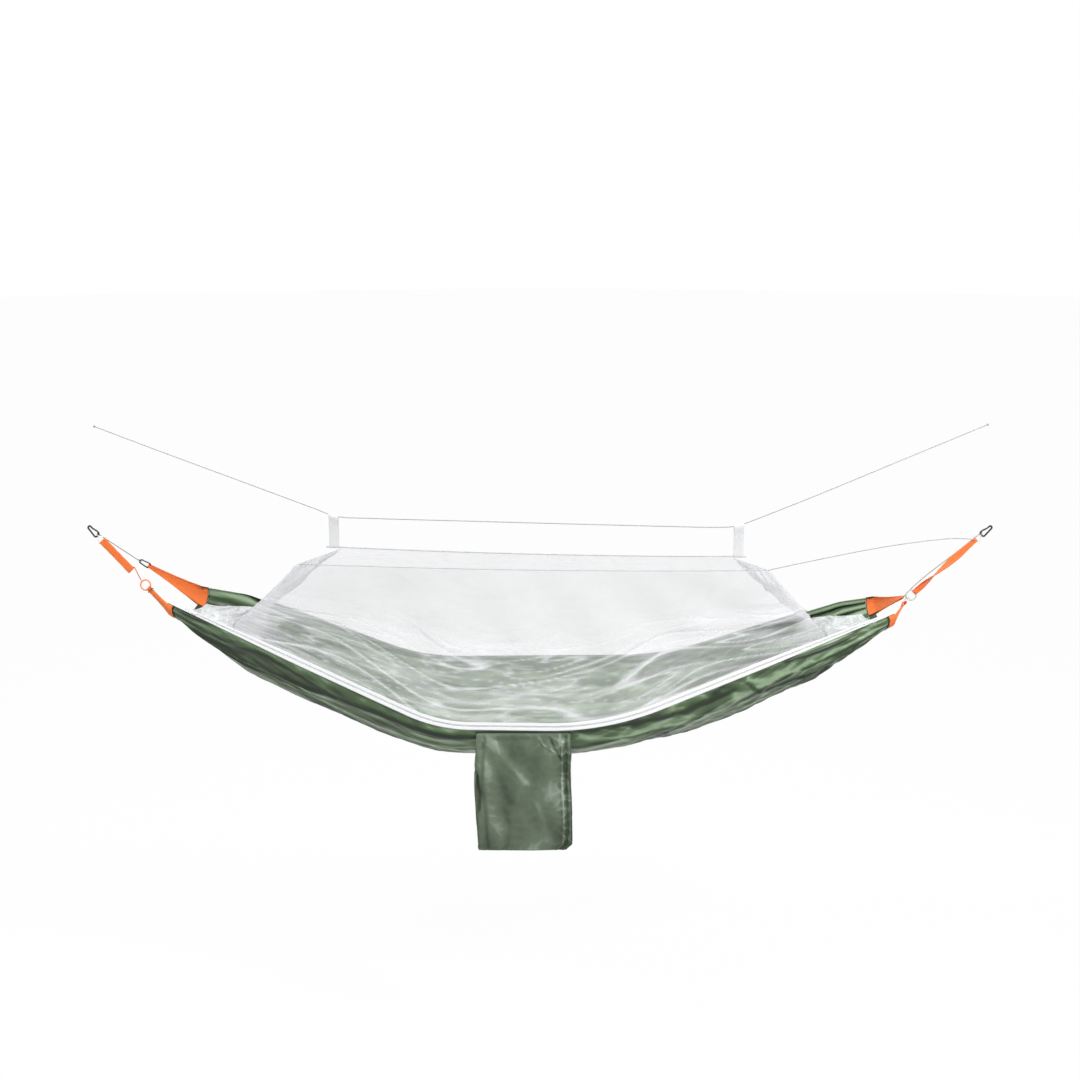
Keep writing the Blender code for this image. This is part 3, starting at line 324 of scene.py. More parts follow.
def softCopy(node, name, material, cuts=1, rounding=0.0004, pucker=0.0, scale=60.0, body="hammock",
             inset=0.0):
    # a finer piece of webbing or hem in place of its plain node
    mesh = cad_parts[node].data.copy()
    work = bmesh.new()
    work.from_mesh(mesh)
    bmesh.ops.remove_doubles(work, verts=work.verts, dist=0.00002)
    bmesh.ops.join_triangles(work, faces=work.faces, angle_face_threshold=0.9, angle_shape_threshold=3.1)
    if rounding:
        edges = [e for e in work.edges if e.is_manifold and e.calc_face_angle(0) > 0.9]
        bmesh.ops.bevel(work, geom=edges, offset=rounding, segments=2, profile=0.5, affect="EDGES",
                        clamp_overlap=True)
    if cuts:
        long = [e for e in work.edges if e.calc_length() > 0.004]
        bmesh.ops.subdivide_edges(work, edges=long, cuts=cuts, use_grid_fill=True)
    work.normal_update()
    for v in work.verts:
        shift = pucker * softNoise(v.co.x * scale, v.co.z * scale, v.co.y * scale * 0.5)
        v.co += v.normal * (shift - inset)
    work.to_mesh(mesh)
    work.free()
    piece = asPiece(name, mesh, material, body)
    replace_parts(piece, node)
    return piece


def smoothRoute(route, steps):
    route = np.array(route, dtype=float)
    lengths = np.linalg.norm(np.diff(route, axis=0), axis=1)
    ways = [(route[1] - route[0]) / lengths[0],
            *(route[2:] - route[:-2]) / (lengths[:-1] + lengths[1:])[:, None],
            (route[-1] - route[-2]) / lengths[-1]]
    points = []
    for a, b, wayA, wayB, length in zip(route, route[1:], ways, ways[1:], lengths):
        for i in range(steps):
            t = i / steps
            points.append(blend(a, b, ease(t)) + length * t * (1 - t) * ((1 - t) * wayA - t * wayB))
    points.append(route[-1])
    return points


def cordPiece(name, points, radius, material, node):
    curve = bpy.data.curves.new(name, "CURVE")
    curve.dimensions = "3D"
    curve.bevel_depth, curve.bevel_resolution, curve.use_fill_caps = radius, 4, True
    spline = curve.splines.new("POLY")
    spline.points.add(len(points) - 1)
    for target, p in zip(spline.points, points):
        target.co = (*p, 1.0)
    curve.materials.append(material)
    piece = addObject(name, curve)
    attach(piece, "hammock")
    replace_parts(piece, node)
    return piece


def crumple(piece, look):
    # lets slightly too large a cloth find its own wrinkles, and keeps them in the mesh
    mesh, scene = piece.data, bpy.context.scene
    start = np.array([v.co[:] for v in mesh.vertices])
    top = start[:, 2].max()
    group = piece.vertex_groups.new(name="pin")
    group.add([k for k, p in enumerate(start) if top - p[2] < look["pinned"]], 1.0, "REPLACE")
    cloth = piece.modifiers.new("cloth", "CLOTH")
    settings = cloth.settings
    settings.quality, settings.mass, settings.vertex_group_mass = look["quality"], look["mass"], "pin"
    settings.tension_stiffness = settings.compression_stiffness = look["stretch"]
    settings.shear_stiffness, settings.bending_stiffness = look["shear"], look["bending"]
    settings.shrink_min = settings.shrink_max = -look["growth"]
    settings.effector_weights.gravity = 0.0
    settings.use_pressure, settings.uniform_pressure_force = True, look["pressure"]
    cloth.point_cache.frame_end = look["frames"]
    for number in range(1, look["frames"] + 1):
        scene.frame_set(number)
    shaped = piece.evaluated_get(bpy.context.evaluated_depsgraph_get()).data
    shift = np.array([v.co[:] for v in shaped.vertices])[: len(start)] - start
    piece.modifiers.remove(cloth)
    scene.frame_set(1)
    size = np.linalg.norm(shift, axis=1, keepdims=True)
    shift *= np.minimum(1.0, look["cap"] / np.maximum(size, 1e-9))
    mesh.vertices.foreach_set("co", (start + shift).astype(np.float32).ravel())
    piece.vertex_groups.clear()
    mesh.update()


squareTurn = ((-1, -1), (1, -1), (1, 1), (-1, 1))
thread = {"pitch": 0.0034, "share": 0.62, "width": 0.00042, "sunk": 0.0001}


def prism(work, base, top):
    # a closed block between two rings of four corners
    base, top = ([work.verts.new(corner) for corner in ring] for ring in (base, top))
    work.faces.new(base[::-1])
    work.faces.new(top)
    for k in range(4):
        m = (k + 1) % 4
        work.faces.new((base[k], base[m], top[m], top[k]))


def stitches(name, row, target, material, body="hammock"):
    # short raised threads along a line, laid on the surface of a piece
    tree = BVHTree.FromObject(target, bpy.context.evaluated_depsgraph_get())
    work = bmesh.new()
    row = np.array(row)
    distance = distances(row)
    reach = thread["pitch"] * thread["share"]
    for start in np.arange(0, distance[-1] - reach, thread["pitch"]):
        ends = interpolated(np.array((start, start + reach)), distance, row)
        near, normal, _, _ = tree.find_nearest(Vector((ends[0] + ends[1]) / 2))
        way = Vector(ends[1] - ends[0])
        side = way.cross(normal).normalized() * thread["width"]
        prism(work, [near + way * 0.5 * a + side * 0.5 * b - normal * thread["sunk"] for a, b in squareTurn],
              [near + way * 0.3 * a + side * 0.4 * b + normal * thread["width"] * 0.9 for a, b in squareTurn])
    bmesh.ops.recalc_face_normals(work, faces=work.faces)
    return asPiece(name, meshFrom(work, name), material, body)


view = {"target": point(0, 0, -0.045), "distance": 6.0, "elevation": 13.0, "sensor": 36.0, "focal": 58.82}


def makeCamera(look):
    tilt = math.radians(look["elevation"])
    camera = addObject("camera", bpy.data.cameras.new("camera"))
    camera.data.sensor_width, camera.data.lens = look["sensor"], look["focal"]
    away = np.array((0, -math.cos(tilt), math.sin(tilt))) * look["distance"]
    camera.location = look["target"] + away
    camera.rotation_euler = (math.pi / 2 - tilt, 0, 0)
    bpy.context.scene.camera = camera


makeCamera(view)

ridgeLine = {
    "radius": 0.0015, "steps": 3,
    "route": [(-1.49, 0, 0.344), (-1.28, 0, 0.262), (-1.0, 0, 0.155), (-0.76, 0, 0.063), (-0.692, 0, 0.037),
              (-0.6, 0, 0.031), (-0.25, 0, 0.021), (0.1, 0, 0.011), (0.45, 0, 0.002), (0.6, 0, -0.001),
              (0.668, 0, 0.004), (0.74, 0, 0.03), (0.95, 0, 0.116), (1.22, 0, 0.232), (1.496, 0, 0.35)]}
guyLine = {
    "radius": 0.0014, "steps": 3, "corner": (0.762, -0.132, -0.118), "start": 0.0006,
    "route": [(0.9, -0.112, -0.093), (1.15, -0.07, -0.054), (1.38, -0.028, -0.034), (1.478, -0.01, -0.04)]}

ridgePoints = smoothRoute([point(*p) for p in ridgeLine["route"]], ridgeLine["steps"])
ridgeCord = cordPiece("ridge_line", ridgePoints, ridgeLine["radius"],
                      cordFinish("ridge_cord_braid", cordLook, (1, 0, 0.1)), "ridge_cord")
ridgeKnots = [softCopy(side + "_ridge_knot", side + "_line_knot",
                       cordFinish(side + "_knot_braid", cordLook, (0.3, 0.3, 1)), cuts=1, rounding=0,
                       pucker=0.0009, scale=420.0) for side in ("left", "right")]

guyCorner, guyNext = point(*guyLine["corner"]), point(*guyLine["route"][0])
guyPoints = smoothRoute([guyCorner + unit(guyNext - guyCorner) * guyLine["start"]]
                        + [point(*p) for p in guyLine["route"]], guyLine["steps"])
guyCord = cordPiece("corner_guy", guyPoints, guyLine["radius"],
                    cordFinish("guy_cord_braid", cordLook, (1, 0, 0.1)), "corner_guy_cord")
print("camera and cords made")

# The bed's two rims, as in the part
rimShape = {
    "front": {"corners": [(-1.235, -0.252), (-0.335, -0.592), (0.215, -0.598), (1.17, -0.283)],
              "radii": [0.62, 1.15], "endY": -0.075, "lean": 0.78, "outward": -1},
    "rear": {"corners": [(-1.15, -0.238), (-1.02, -0.268), (-0.425, -0.567), (0.45, -0.558),
                         (1.05, -0.3), (1.14, -0.283)],
             "radii": [0.16, 0.55, 0.75, 0.16], "endY": 0.095, "lean": 0.76, "outward": 1}}


def roundedLine(corners, radii, steps):
    corners = [np.array(corner) for corner in corners]
    points = [corners[0]]
    for before, corner, after, radius in zip(corners, corners[1:], corners[2:], radii):
        arrive, leave = unit(corner - before), unit(after - corner)
        turn = math.acos(float(np.clip(np.dot(arrive, leave), -1, 1)))
        reach = radius * math.tan(turn / 2)
        sign = 1 if arrive[0] * leave[1] - arrive[1] * leave[0] > 0 else -1
        start = corner - arrive * reach
        inward = np.array((-arrive[1], arrive[0])) * sign
        for angle in np.linspace(0, turn, steps + 1):
            points.append(start + inward * radius * (1 - math.cos(angle)) + arrive * radius * math.sin(angle))
    points.append(corners[-1])
    return points


class Rim:
    def __init__(self, shape):
        flat = roundedLine(shape["corners"], shape["radii"], 12)
        endZ = shape["corners"][0][1]
        self.points = np.array([point(x, shape["endY"] - shape["outward"] * shape["lean"] * (z - endZ), z)
                                for x, z in flat])
        self.normal = unit((0, shape["outward"], shape["lean"]))
        self.distance = distances(self.points)
        self.length = self.distance[-1]

    def spot(self, share):
        return interpolated(share * self.length, self.distance, self.points)

    def ways(self, share):
        along = unit(self.spot(min(1.0, share + 0.004)) - self.spot(max(0.0, share - 0.004)))
        up = np.cross(self.normal, along)
        return along, up if up[2] > 0 else -up

    def at(self, share, rise=0.0, out=0.0):
        return self.spot(share) + self.ways(share)[1] * rise + self.normal * out


frontRim, rearRim = Rim(rimShape["front"]), Rim(rimShape["rear"])

bed = {
    "cloth": 0.0022, "depth": 0.165, "endDepth": 0.062, "bellyLean": 0.1, "depths": [0.0, 0.78, 1.0, 1.0,
    0.86, 0.8, 0.88, 1.0, 1.0, 0.78, 0.0], "foldHeight": 0.011, "foldCentre": 0.28, "foldRise": 0.1,
    "folds": 3.5, "drift": 1.3, "stations": 241, "columns": 121, "skin": 0.0008, "pleatHeight": 0.006,
    "pleats": 11, "satinHeight": 0.0052, "creaseDepth": 0.0046, "foldLine": 0.0034}
zipper = {
    "tape": 0.0105, "thickness": 0.0014, "slot": 0.0014, "coil": 0.0032, "coilHeight": 0.0022,
    "start": 0.012, "stop": 0.005, "gap": 0.0003, "toothPitch": 0.0026, "toothShare": 0.62, "lip": 0.0011,
    "endTape": 0.36, "taper": 0.2, "ripple": 0.00045, "seamInset": 0.002}
lapInset = 0.002
rearLap, rearBinding = 0.006, 0.012
tapeInner = zipper["coil"] / 2 + zipper["slot"]
tapeOuter = tapeInner + zipper["tape"]


def stationShares(count):
    shares = even(count)
    return blend(shares, 0.5 - 0.5 * np.cos(np.pi * shares), 0.45)


def bedSurface(shares, columns):
    behindTape = -(zipper["thickness"] / 2 + zipper["gap"] + bed["cloth"] / 2)
    places = even(len(bed["depths"]))
    v = even(columns - 4)[:, None]
    u = 1 - v
    grid = []
    for share in shares:
        depth = bed["endDepth"] + (bed["depth"] - bed["endDepth"]) * np.interp(share, places, bed["depths"])
        top = frontRim.at(share, -tapeOuter - lapInset, behindTape)
        end = rearRim.at(share, -(rearLap + lapInset))
        low = min(top[2], end[2]) - depth
        downFront = np.array((0, -bed["bellyLean"], -1)) * (top[2] - low) * 4 / 3
        downRear = np.array((0, bed["bellyLean"], -1)) * (end[2] - low) * 4 / 3
        nearEnd = min(share, 1 - share)
        height = bed["foldHeight"] * ease(nearEnd / bed["foldRise"]) * blend(
            1.0, bed["foldCentre"], ease(2 * nearEnd))
        points = (top * u ** 3 + 3 * (top + downFront) * u * u * v + 3 * (end + downRear) * u * v * v
                  + end * v ** 3)
        slope = (3 * downFront * u * u + 6 * (end + downRear - top - downFront) * u * v
                 - 3 * downRear * v * v)
        normal = unit(np.cross(slope, (1, 0, 0)))
        wave = np.sin(2 * np.pi * (bed["folds"] * v + bed["drift"] * share)) * np.sin(np.pi * v)
        points = points + normal * height * wave
        first = [frontRim.at(share, rise, behindTape) for rise in (-tapeInner - lapInset, -tapeOuter)]
        last = [rearRim.at(share, -rearLap), rearRim.at(share, 0.0)]
        grid.append(np.concatenate((first, points, last)))
    return np.array(grid)


def sharp(phase):
    # a narrow fold once each turn
    return np.abs(np.cos(np.pi * phase)) ** 14


def crease(across, down, line, width, reach=0.03):
    # how near a place is to a line of (down, across) points
    downs, acrosses = zip(*line)
    fade = ease((down - downs[0] + reach) / (2.6 * reach)) * ease((downs[-1] + reach - down) / (2.6 * reach))
    gap = (across - np.interp(down, downs, acrosses)) / width
    return fade * np.exp(-gap * gap)


# Fold lines: (down, across) points, width, depth; each pushes the cloth out or in and paints it lighter
# (painted highlight) or darker (painted shade) by the sign of its depth
bedFolds = [
    ([(0.02, 0.2), (0.1, 0.17), (0.2, 0.13), (0.3, 0.075), (0.48, 0.045)], 0.014, -1.5),
    ([(0.02, 0.23), (0.1, 0.205), (0.2, 0.165), (0.3, 0.12), (0.42, 0.11)], 0.016, 0.7),
    ([(0.04, 0.31), (0.14, 0.27), (0.26, 0.25), (0.4, 0.24)], 0.016, -0.8),
    ([(0.12, 0.22), (0.22, 0.21), (0.34, 0.19), (0.44, 0.2)], 0.01, 0.8),
    ([(0.28, 0.29), (0.36, 0.3), (0.47, 0.27)], 0.012, 0.9),
    ([(0.56, 0.2), (0.62, 0.13), (0.7, 0.06)], 0.016, 0.9),
    ([(0.6, 0.27), (0.67, 0.2), (0.75, 0.12)], 0.014, -1.0),
    ([(0.64, 0.03), (0.7, 0.07), (0.78, 0.06)], 0.013, -1.2),
    ([(0.68, 0.12), (0.73, 0.17), (0.78, 0.16)], 0.02, 0.9),
    ([(0.795, 0.05), (0.82, 0.17), (0.9, 0.23)], 0.014, -1.7),
    ([(0.815, 0.16), (0.84, 0.1), (0.87, 0.04)], 0.013, 1.0),
    ([(0.835, 0.2), (0.86, 0.13), (0.89, 0.06)], 0.012, 1.1),
    ([(0.86, 0.24), (0.88, 0.17), (0.91, 0.1)], 0.012, 0.9),
    ([(0.9, 0.3), (0.94, 0.2), (0.98, 0.12)], 0.016, -0.9)]


bedWrinkles = {
    "size": (2.7, 1.15), "ends": 0.24, "wander": (7, 5, 1.5), "slow": (3, 9, 7.5), "beside": 0.16,
    "satin": [(0.8, 0.6, 3.1), (0.86, -0.5, 11.7)], "satinScale": (5.0, 17.0), "satinSharp": 8,
    "fine": (16.0, 30.0, 23.0), "fineHeight": 0.0011, "lineReach": 0.012, "frontEdge": 0.03,
    "rearEdge": 0.07, "endEdge": 0.035}
# strengths of the painted light and shade on the bed, kept in its fold attribute
bedShadeStrengths = {
    "middle": 0.56, "satin": 0.6, "pleat": 0.28, "crease": 1.3, "line": 0.95, "beside": 0.5, "fine": 0.35,
    "slow": 0.4, "inner": 0.6, "pale": 0.95, "palePleat": 0.5, "paleCrease": 2.2, "rim": 0.5}


def bedDetail(shares, columns):
    look, tone = bedWrinkles, bedShadeStrengths
    rows, v = np.asarray(shares)[:, None], even(columns)[None, :]
    near = np.minimum(rows, 1 - rows)
    ends = 1 - ease(near / look["ends"])

    def toEnds(least):
        return blend(least, 1.0, ends)

    wander, slow = (noiseOver(rows * a, v * b, seed) for a, b, seed in (look["wander"], look["slow"]))
    pleat = np.sin(2 * np.pi * (bed["pleats"] * v + 0.55 * wander + 0.4 * rows))
    turn = bed["pleats"] * 0.75 * v + 0.8 * wander + rows
    narrow, beside = sharp(turn), sharp(turn + look["beside"])
    x, y = rows * look["size"][0], v * look["size"][1]
    satin = np.zeros_like(wander)
    a, b = look["satinScale"]
    for c, s, seed in look["satin"]:
        field = noiseOver((x * c + y * s) * a, (y * c - x * s) * b, seed)
        satin += (1 - np.abs(field)) ** look["satinSharp"] - 0.33
    a, b, seed = look["fine"]
    fine = noiseOver(x * a, y * b, seed)
    # satin ripples grow toward the right end, in shape and as painted highlight
    right = 0.45 + 0.55 * ease((rows - 0.35) / 0.4)
    lines = sum(depth * crease(v, rows, line, width, look["lineReach"]) for line, width, depth in bedFolds)
    shift = (bed["pleatHeight"] * toEnds(0.22) * pleat * (0.6 + 0.8 * np.abs(slow))
             - bed["creaseDepth"] * toEnds(0.25) * narrow + look["fineHeight"] * fine + bed["foldLine"] * lines
             + bed["satinHeight"] * right * satin * (1 - 0.5 * ends))
    edge = ease(v / look["frontEdge"]) * ease((1 - v) / look["rearEdge"]) * ease(near / look["endEdge"])
    # painted light and shade: pleat hollows and narrow creases darker; satin ripples, fold ridges and the line
    # beside each crease lighter as painted highlights
    value = (tone["middle"] + tone["satin"] * satin * right + tone["pleat"] * pleat * toEnds(0.35)
             - tone["crease"] * narrow * toEnds(0.45) + tone["line"] * lines + tone["fine"] * fine
             + tone["beside"] * beside * toEnds(0.5) + tone["slow"] * slow)
    # the inner face is painted lighter and more even: painted light in the shade under the net
    inner = ease((v - 0.5) / 0.2) * (1 - ends)
    value = value * (1 - tone["inner"] * inner) + tone["middle"] * inner
    # towards the ends the inner face is painted pale like a silvery satin sheen, with painted dark creases
    pale = ease((v - 0.45) / 0.12) * ends
    paleTone = tone["pale"] + tone["palePleat"] * (pleat + fine) - tone["paleCrease"] * narrow
    # and a painted highlight along the rear rim
    value = blend(value, paleTone, pale) + tone["rim"] * ease((v - 0.965) / 0.02)
    return shift * edge, np.clip(value, 0, 1)


nylon = nylonFinish("bed_nylon", nylonLook)
bedShares = stationShares(bed["stations"])
bedGrid = bedSurface(bedShares, bed["columns"])
# the shape of the folds, and their painted light and shade
bedShift, bedPaintedShade = bedDetail(bedShares, bed["columns"])
bedNormals = gridNormals(bedGrid)
bedPiece = gridPiece("bed", bedGrid + bedNormals * bedShift[..., None], nylon, ("fold", bedPaintedShade), bed["skin"])
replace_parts(bedPiece, "bed_fabric")
print("bed made")

for side in ("left", "right"):
    softCopy(side + "_end_hem", side + "_hem", nylonFinish(side + "_hem_nylon", nylonLook), cuts=2,
             rounding=0.0012, pucker=0.0009, scale=70.0)

whiteWeb = wovenFinish("zip_tape_weave", whiteLook, (0.9, -0.2, 0.4), (0, 0.7, 0.7))
seamStart = zipper["start"] + zipper["seamInset"]
for name, low, high in (("zip_tape_lower", -tapeOuter, -tapeInner + zipper["lip"]),
                        ("zip_tape_upper", tapeInner - zipper["lip"], tapeOuter)):
    inner = high if low < 0 else low
    rows = []
    for share in np.linspace(zipper["start"], 1 - zipper["start"], 421):
        ripple = zipper["ripple"] * softNoise(share * 160, low * 900, 4.0)
        narrowing = blend(zipper["endTape"], 1.0, ease(min(share, 1 - share) / zipper["taper"]))
        outer = inner + (low + high - 2 * inner) * narrowing
        rises = np.linspace(min(inner, outer), max(inner, outer), 5)
        rows.append([frontRim.at(share, rise, ripple) for rise in rises])
    tape = gridPiece(name + "_tape", np.array(rows), whiteWeb, thickness=zipper["thickness"])
    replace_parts(tape, name)
    seamRise = blend(low, high, 0.72 if low < 0 else 0.28)
    seam = [frontRim.at(s, seamRise, -zipper["thickness"] / 2 - 0.001)
            for s in np.linspace(seamStart, 1 - seamStart, 300)]
    stitches(name + "_seam", seam, tape, whiteWeb)

work = bmesh.new()
inset = zipper["start"] + (zipper["stop"] + zipper["gap"]) / frontRim.length
count = int((1 - 2 * inset) * frontRim.length / zipper["toothPitch"])
for k in range(count):
    share = inset + (1 - 2 * inset) * (k + 0.5) / count
    along, up = frontRim.ways(share)
    spot = frontRim.spot(share) + up * zipper["coil"] * (0.1 if k % 2 else -0.1)
    ends = []
    for a in (-1, 1):
        middle = spot + along * zipper["toothPitch"] * zipper["toothShare"] / 2 * a
        ends.append([middle + up * zipper["coil"] * 0.38 * b
                     + frontRim.normal * zipper["coilHeight"] * 0.35 * c for b, c in squareTurn])
    prism(work, *ends)
coil = asPiece("zip_teeth", meshFrom(work, "zip_teeth"),
               mouldedFinish("coil_nylon", colour(240, 240, 240), 0.4, 0.0026, (1, 0, 0)))
coil.data.shade_flat()
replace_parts(coil, "zip_coil")
print("zip made")

# Net roof, walls and ends
roof = {
    "rearLeft": (-0.672, 0.0, -0.07), "rearRight": (0.648, 0.0, -0.102), "frontLeft": (-0.8, -0.15, -0.092),
    "frontRight": (0.762, -0.132, -0.118), "sag": 0.008, "seamSag": 0.01, "hemRadius": 0.002,
    "seamRadius": 0.0014, "tab": 0.034, "tabOffset": 0.0105, "columns": 97, "rows": 15,
    "grey": colour(219, 219, 223)}
net = {
    "cloth": 0.0016, "station": 4, "bedStations": 33, "slack": 0.055, "foldHeight": 0.01, "folds": 6.5,
    "rise": 4, "endSlack": 0.03, "inset": 0.0015, "skin": 0.0005, "columns": 361, "rearRows": 40,
    "frontRows": 101, "endColumns": 61, "endRows": 44}
bunching = {
    "left": 0.55, "leftWidth": 0.15, "right": 0.36, "rightWidth": 0.13, "clearSpots": (0.085, 0.95),
    "clearDown": 0.24, "clearSize": (0.03, 0.075), "clearing": 1.9, "endWhite": {-1: 0.55, 1: 0.3}}
ruffles = {
    "plain": {"low": -1.0, "high": 2.0, "calm": 0.06, "ends": 0.08},
    "roof": {"amount": 0.0012, "seed": 2.0, "across": 3.0, "along": 4.0, "calm": 0.3, "high": -1},
    "rear": {"amount": 0.0024, "seed": 5.0, "across": 4.0, "along": 3.0, "calm": 0.12, "high": -1},
    "front": {"amount": 0.007, "seed": 12.0, "across": 8.0, "along": 2.6, "low": -0.1, "high": 0.66,
              "calm": 0.05, "ends": 0.05},
    "end": {"amount": 0.008, "seed": 31.0, "across": 2.2, "along": 7.0, "ends": 0.05},
    "gather": {"amount": 0.0075, "seed": 47.0, "across": 2.2, "along": 1.4, "ends": 0.07}}
# Creases: across, lean, warp, along, seed, sharpness
creaseSizes = [(1.0, 1.0, 1.9, 1.0, 0, 14), (1.9, -2.2, 2.6, 2.2, 9, 12), (3.1, 3.6, -3.0, 3.3, 15, 8.5)]
rearLeft, rearRight = point(*roof["rearLeft"]), point(*roof["rearRight"])
frontLeft, frontRight = point(*roof["frontLeft"]), point(*roof["frontRight"])
halfNet = net["cloth"] / 2 + zipper["gap"]
netMaterial = netFinish("net_mesh", netLook)


def sagging(first, last, sag, count):
    shares = even(count)[:, None]
    return blend(first, last, shares) - np.array((0, 0, sag)) * 4 * shares * (1 - shares)


def fromEdge(edge, towards, distance):
    return edge + unit(towards - edge) * distance


def netRows(first, last, rows):
    return blend(first, last, even(rows)[:, None, None])


def ruffle(grid, kind, turn=0):
    # creases that wander along a net, strongest between two heights, none at sewn edges
    look = {**ruffles["plain"], **ruffles[kind]}
    seed, ends, calm = look["seed"] + turn, look["ends"], look["calm"]
    rows, columns = grid.shape[:2]
    r, c = np.arange(rows)[:, None] / (rows - 1), np.arange(columns)[None, :] / (columns - 1)
    zone = calm + (1 - calm) * ease((r - look["low"]) / 0.12) * ease((look["high"] - r) / 0.3)
    warp = noiseOver(c * 3.4, r * 1.8, seed + 3)
    lean = 3.2 * (c - 0.5) * r
    waves = [noiseOver(r * look["across"] * across + leans * lean + warps * warp, c * look["along"] * along,
                       seed + more) for across, leans, warps, along, more, _ in creaseSizes]
    crests = [np.maximum(0, 1 - size[-1] * np.abs(wave)) for size, wave in zip(creaseSizes, waves)]
    where = ease(0.5 + 1.5 * noiseOver(c * 3.6, r * 3.1, seed + 20))
    crest = 0.8 * (crests[0] * (0.35 + 0.65 * where) + 0.8 * crests[1] * (1 - 0.5 * where)
                   + 0.5 * crests[2] * where)
    edge = ease(r / ends) * ease((1 - r) / ends) * ease(c / ends) * ease((1 - c) / ends)
    shift = (crest + 1.5 * waves[0] + 0.7 * waves[1]) * edge * zone
    value = (crest + 0.35 * np.maximum(0, waves[0] + 0.5 * waves[1])) * zone
    return grid + gridNormals(grid) * (look["amount"] * shift)[..., None], np.clip(value, 0, 1)


def netPiece(name, grid, white, node=None, material=netMaterial):
    piece = gridPiece(name, grid, material, ("crease", np.clip(white, 0, 1)), net["skin"])
    if node:
        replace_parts(piece, node)


rearEdge = sagging(rearLeft, rearRight, roof["sag"], roof["columns"])
frontEdge = sagging(frontLeft, frontRight, roof["seamSag"], roof["columns"])
roofGrid = netRows(fromEdge(rearEdge, frontEdge, roof["hemRadius"] + halfNet),
                   fromEdge(frontEdge, rearEdge, roof["seamRadius"] + halfNet), roof["rows"])
roofGrid, creases = ruffle(roofGrid, "roof")
# the roof's net gets a greyer copy of the net colour: painted shade
netPiece("net_roof_panel", roofGrid, creases * 0.5, "net_roof",
         netFinish("roof_mesh", dict(netLook, base=roof["grey"])))

cadStations = stationShares(net["bedStations"])
firstShare, lastShare = cadStations[net["station"]], cadStations[-1 - net["station"]]
wallShares = np.linspace(firstShare, lastShare, net["columns"])
behindBed = bed["cloth"] / 2 + halfNet
along = unit(rearRight - rearLeft) * 2 * net["inset"]
foot = np.array([rearRim.at(s, rearBinding - rearLap + lapInset, behindBed) for s in wallShares])
high = fromEdge(sagging(rearLeft + along, rearRight - along, roof["sag"], len(foot)), foot,
                roof["hemRadius"] + halfNet)
lap = np.array([rearRim.at(s, -rearLap + lapInset / 2, behindBed) for s in wallShares])
wallGrid, creases = ruffle(np.concatenate((lap[None], netRows(foot, high, net["rearRows"]))), "rear")
netPiece("net_rear_panel", wallGrid, creases * 0.4, "net_rear_wall")

behindTape = -zipper["thickness"] / 2 - halfNet
foot = np.array([frontRim.at(s, tapeOuter + lapInset, behindTape) for s in wallShares])
high = fromEdge(sagging(frontLeft, frontRight, roof["seamSag"], len(foot)), foot,
                roof["seamRadius"] + halfNet)
lap = np.array([frontRim.at(s, tapeOuter - lapInset * 3, behindTape) for s in wallShares])
frontGrid = netRows(foot, high, net["frontRows"])
down = even(net["frontRows"])[:, None]
across = even(len(foot))[None, :]
inside = np.sin(np.pi * down) * ease(net["rise"] * np.minimum(across, 1 - across))
wave = np.sin(2 * np.pi * (net["folds"] * across + down))
frontGrid[..., 1] += (net["slack"] + net["foldHeight"] * wave) * inside
frontGrid, creases = ruffle(np.concatenate((lap[None], frontGrid)), "front")
down = even(len(frontGrid))[:, None]
bunched = (bunching["left"] * (1 - ease(across / bunching["leftWidth"]))
           + bunching["right"] * (1 - ease((1 - across) / bunching["rightWidth"])))
wide, tall = bunching["clearSize"]
for spot in bunching["clearSpots"]:
    distance = ((across - spot) / wide) ** 2 + ((down - bunching["clearDown"]) / tall) ** 2
    bunched = bunched * (1 - bunching["clearing"] * np.exp(-distance ** 2))
white = creases + bunched * (1 - 0.6 * ease((down - 0.45) / 0.3))
netPiece("net_front_panel", frontGrid, white, "net_front_wall")

bedCoarse = bedSurface(cadStations, 17)
coarseNormals = gridNormals(bedCoarse)
for name, row, cornerFront, cornerRear, sign in (
        ("net_left_end", net["station"], frontLeft, rearLeft, -1),
        ("net_right_end", net["bedStations"] - 1 - net["station"], frontRight, rearRight, 1)):
    line, normals = bedCoarse[row], coarseNormals[row][3:14]
    inward = np.sum(normals * ((line[0] + line[-1]) / 2 - line[3:14]), axis=1, keepdims=True)
    foot = line[3:14] + normals * np.sign(inward) * behindBed
    share = cadStations[row]
    between = sagging(frontRim.at(share, tapeOuter + lapInset, behindTape - net["cloth"] - zipper["gap"]),
                      rearRim.at(share, rearBinding, -bed["cloth"] / 2 - halfNet), 0.0, net["endColumns"])
    way = unit(cornerRear - cornerFront)
    top = sagging(cornerFront + (np.array((sign, 0, 0)) + way) * 2 * net["inset"],
                  cornerRear - np.array((0, 0, 2 * net["inset"]))
                  - way * (roof["hemRadius"] + 2 * net["inset"]), 0.0, net["endColumns"])
    r, c = even(net["endRows"])[:, None], even(net["endColumns"])
    foot = interpolated(c, even(len(foot)), foot)
    upper = netRows(between, top, net["endRows"])
    upper[..., 2] -= net["endSlack"] * np.sin(np.pi * r) * np.sin(np.pi * c)
    panel = np.concatenate((netRows(foot, between, 14)[:-1], upper))
    panel, creases = ruffle(panel, "end", sign)
    netPiece(name + "_panel", panel, creases + bunching["endWhite"][sign], name)

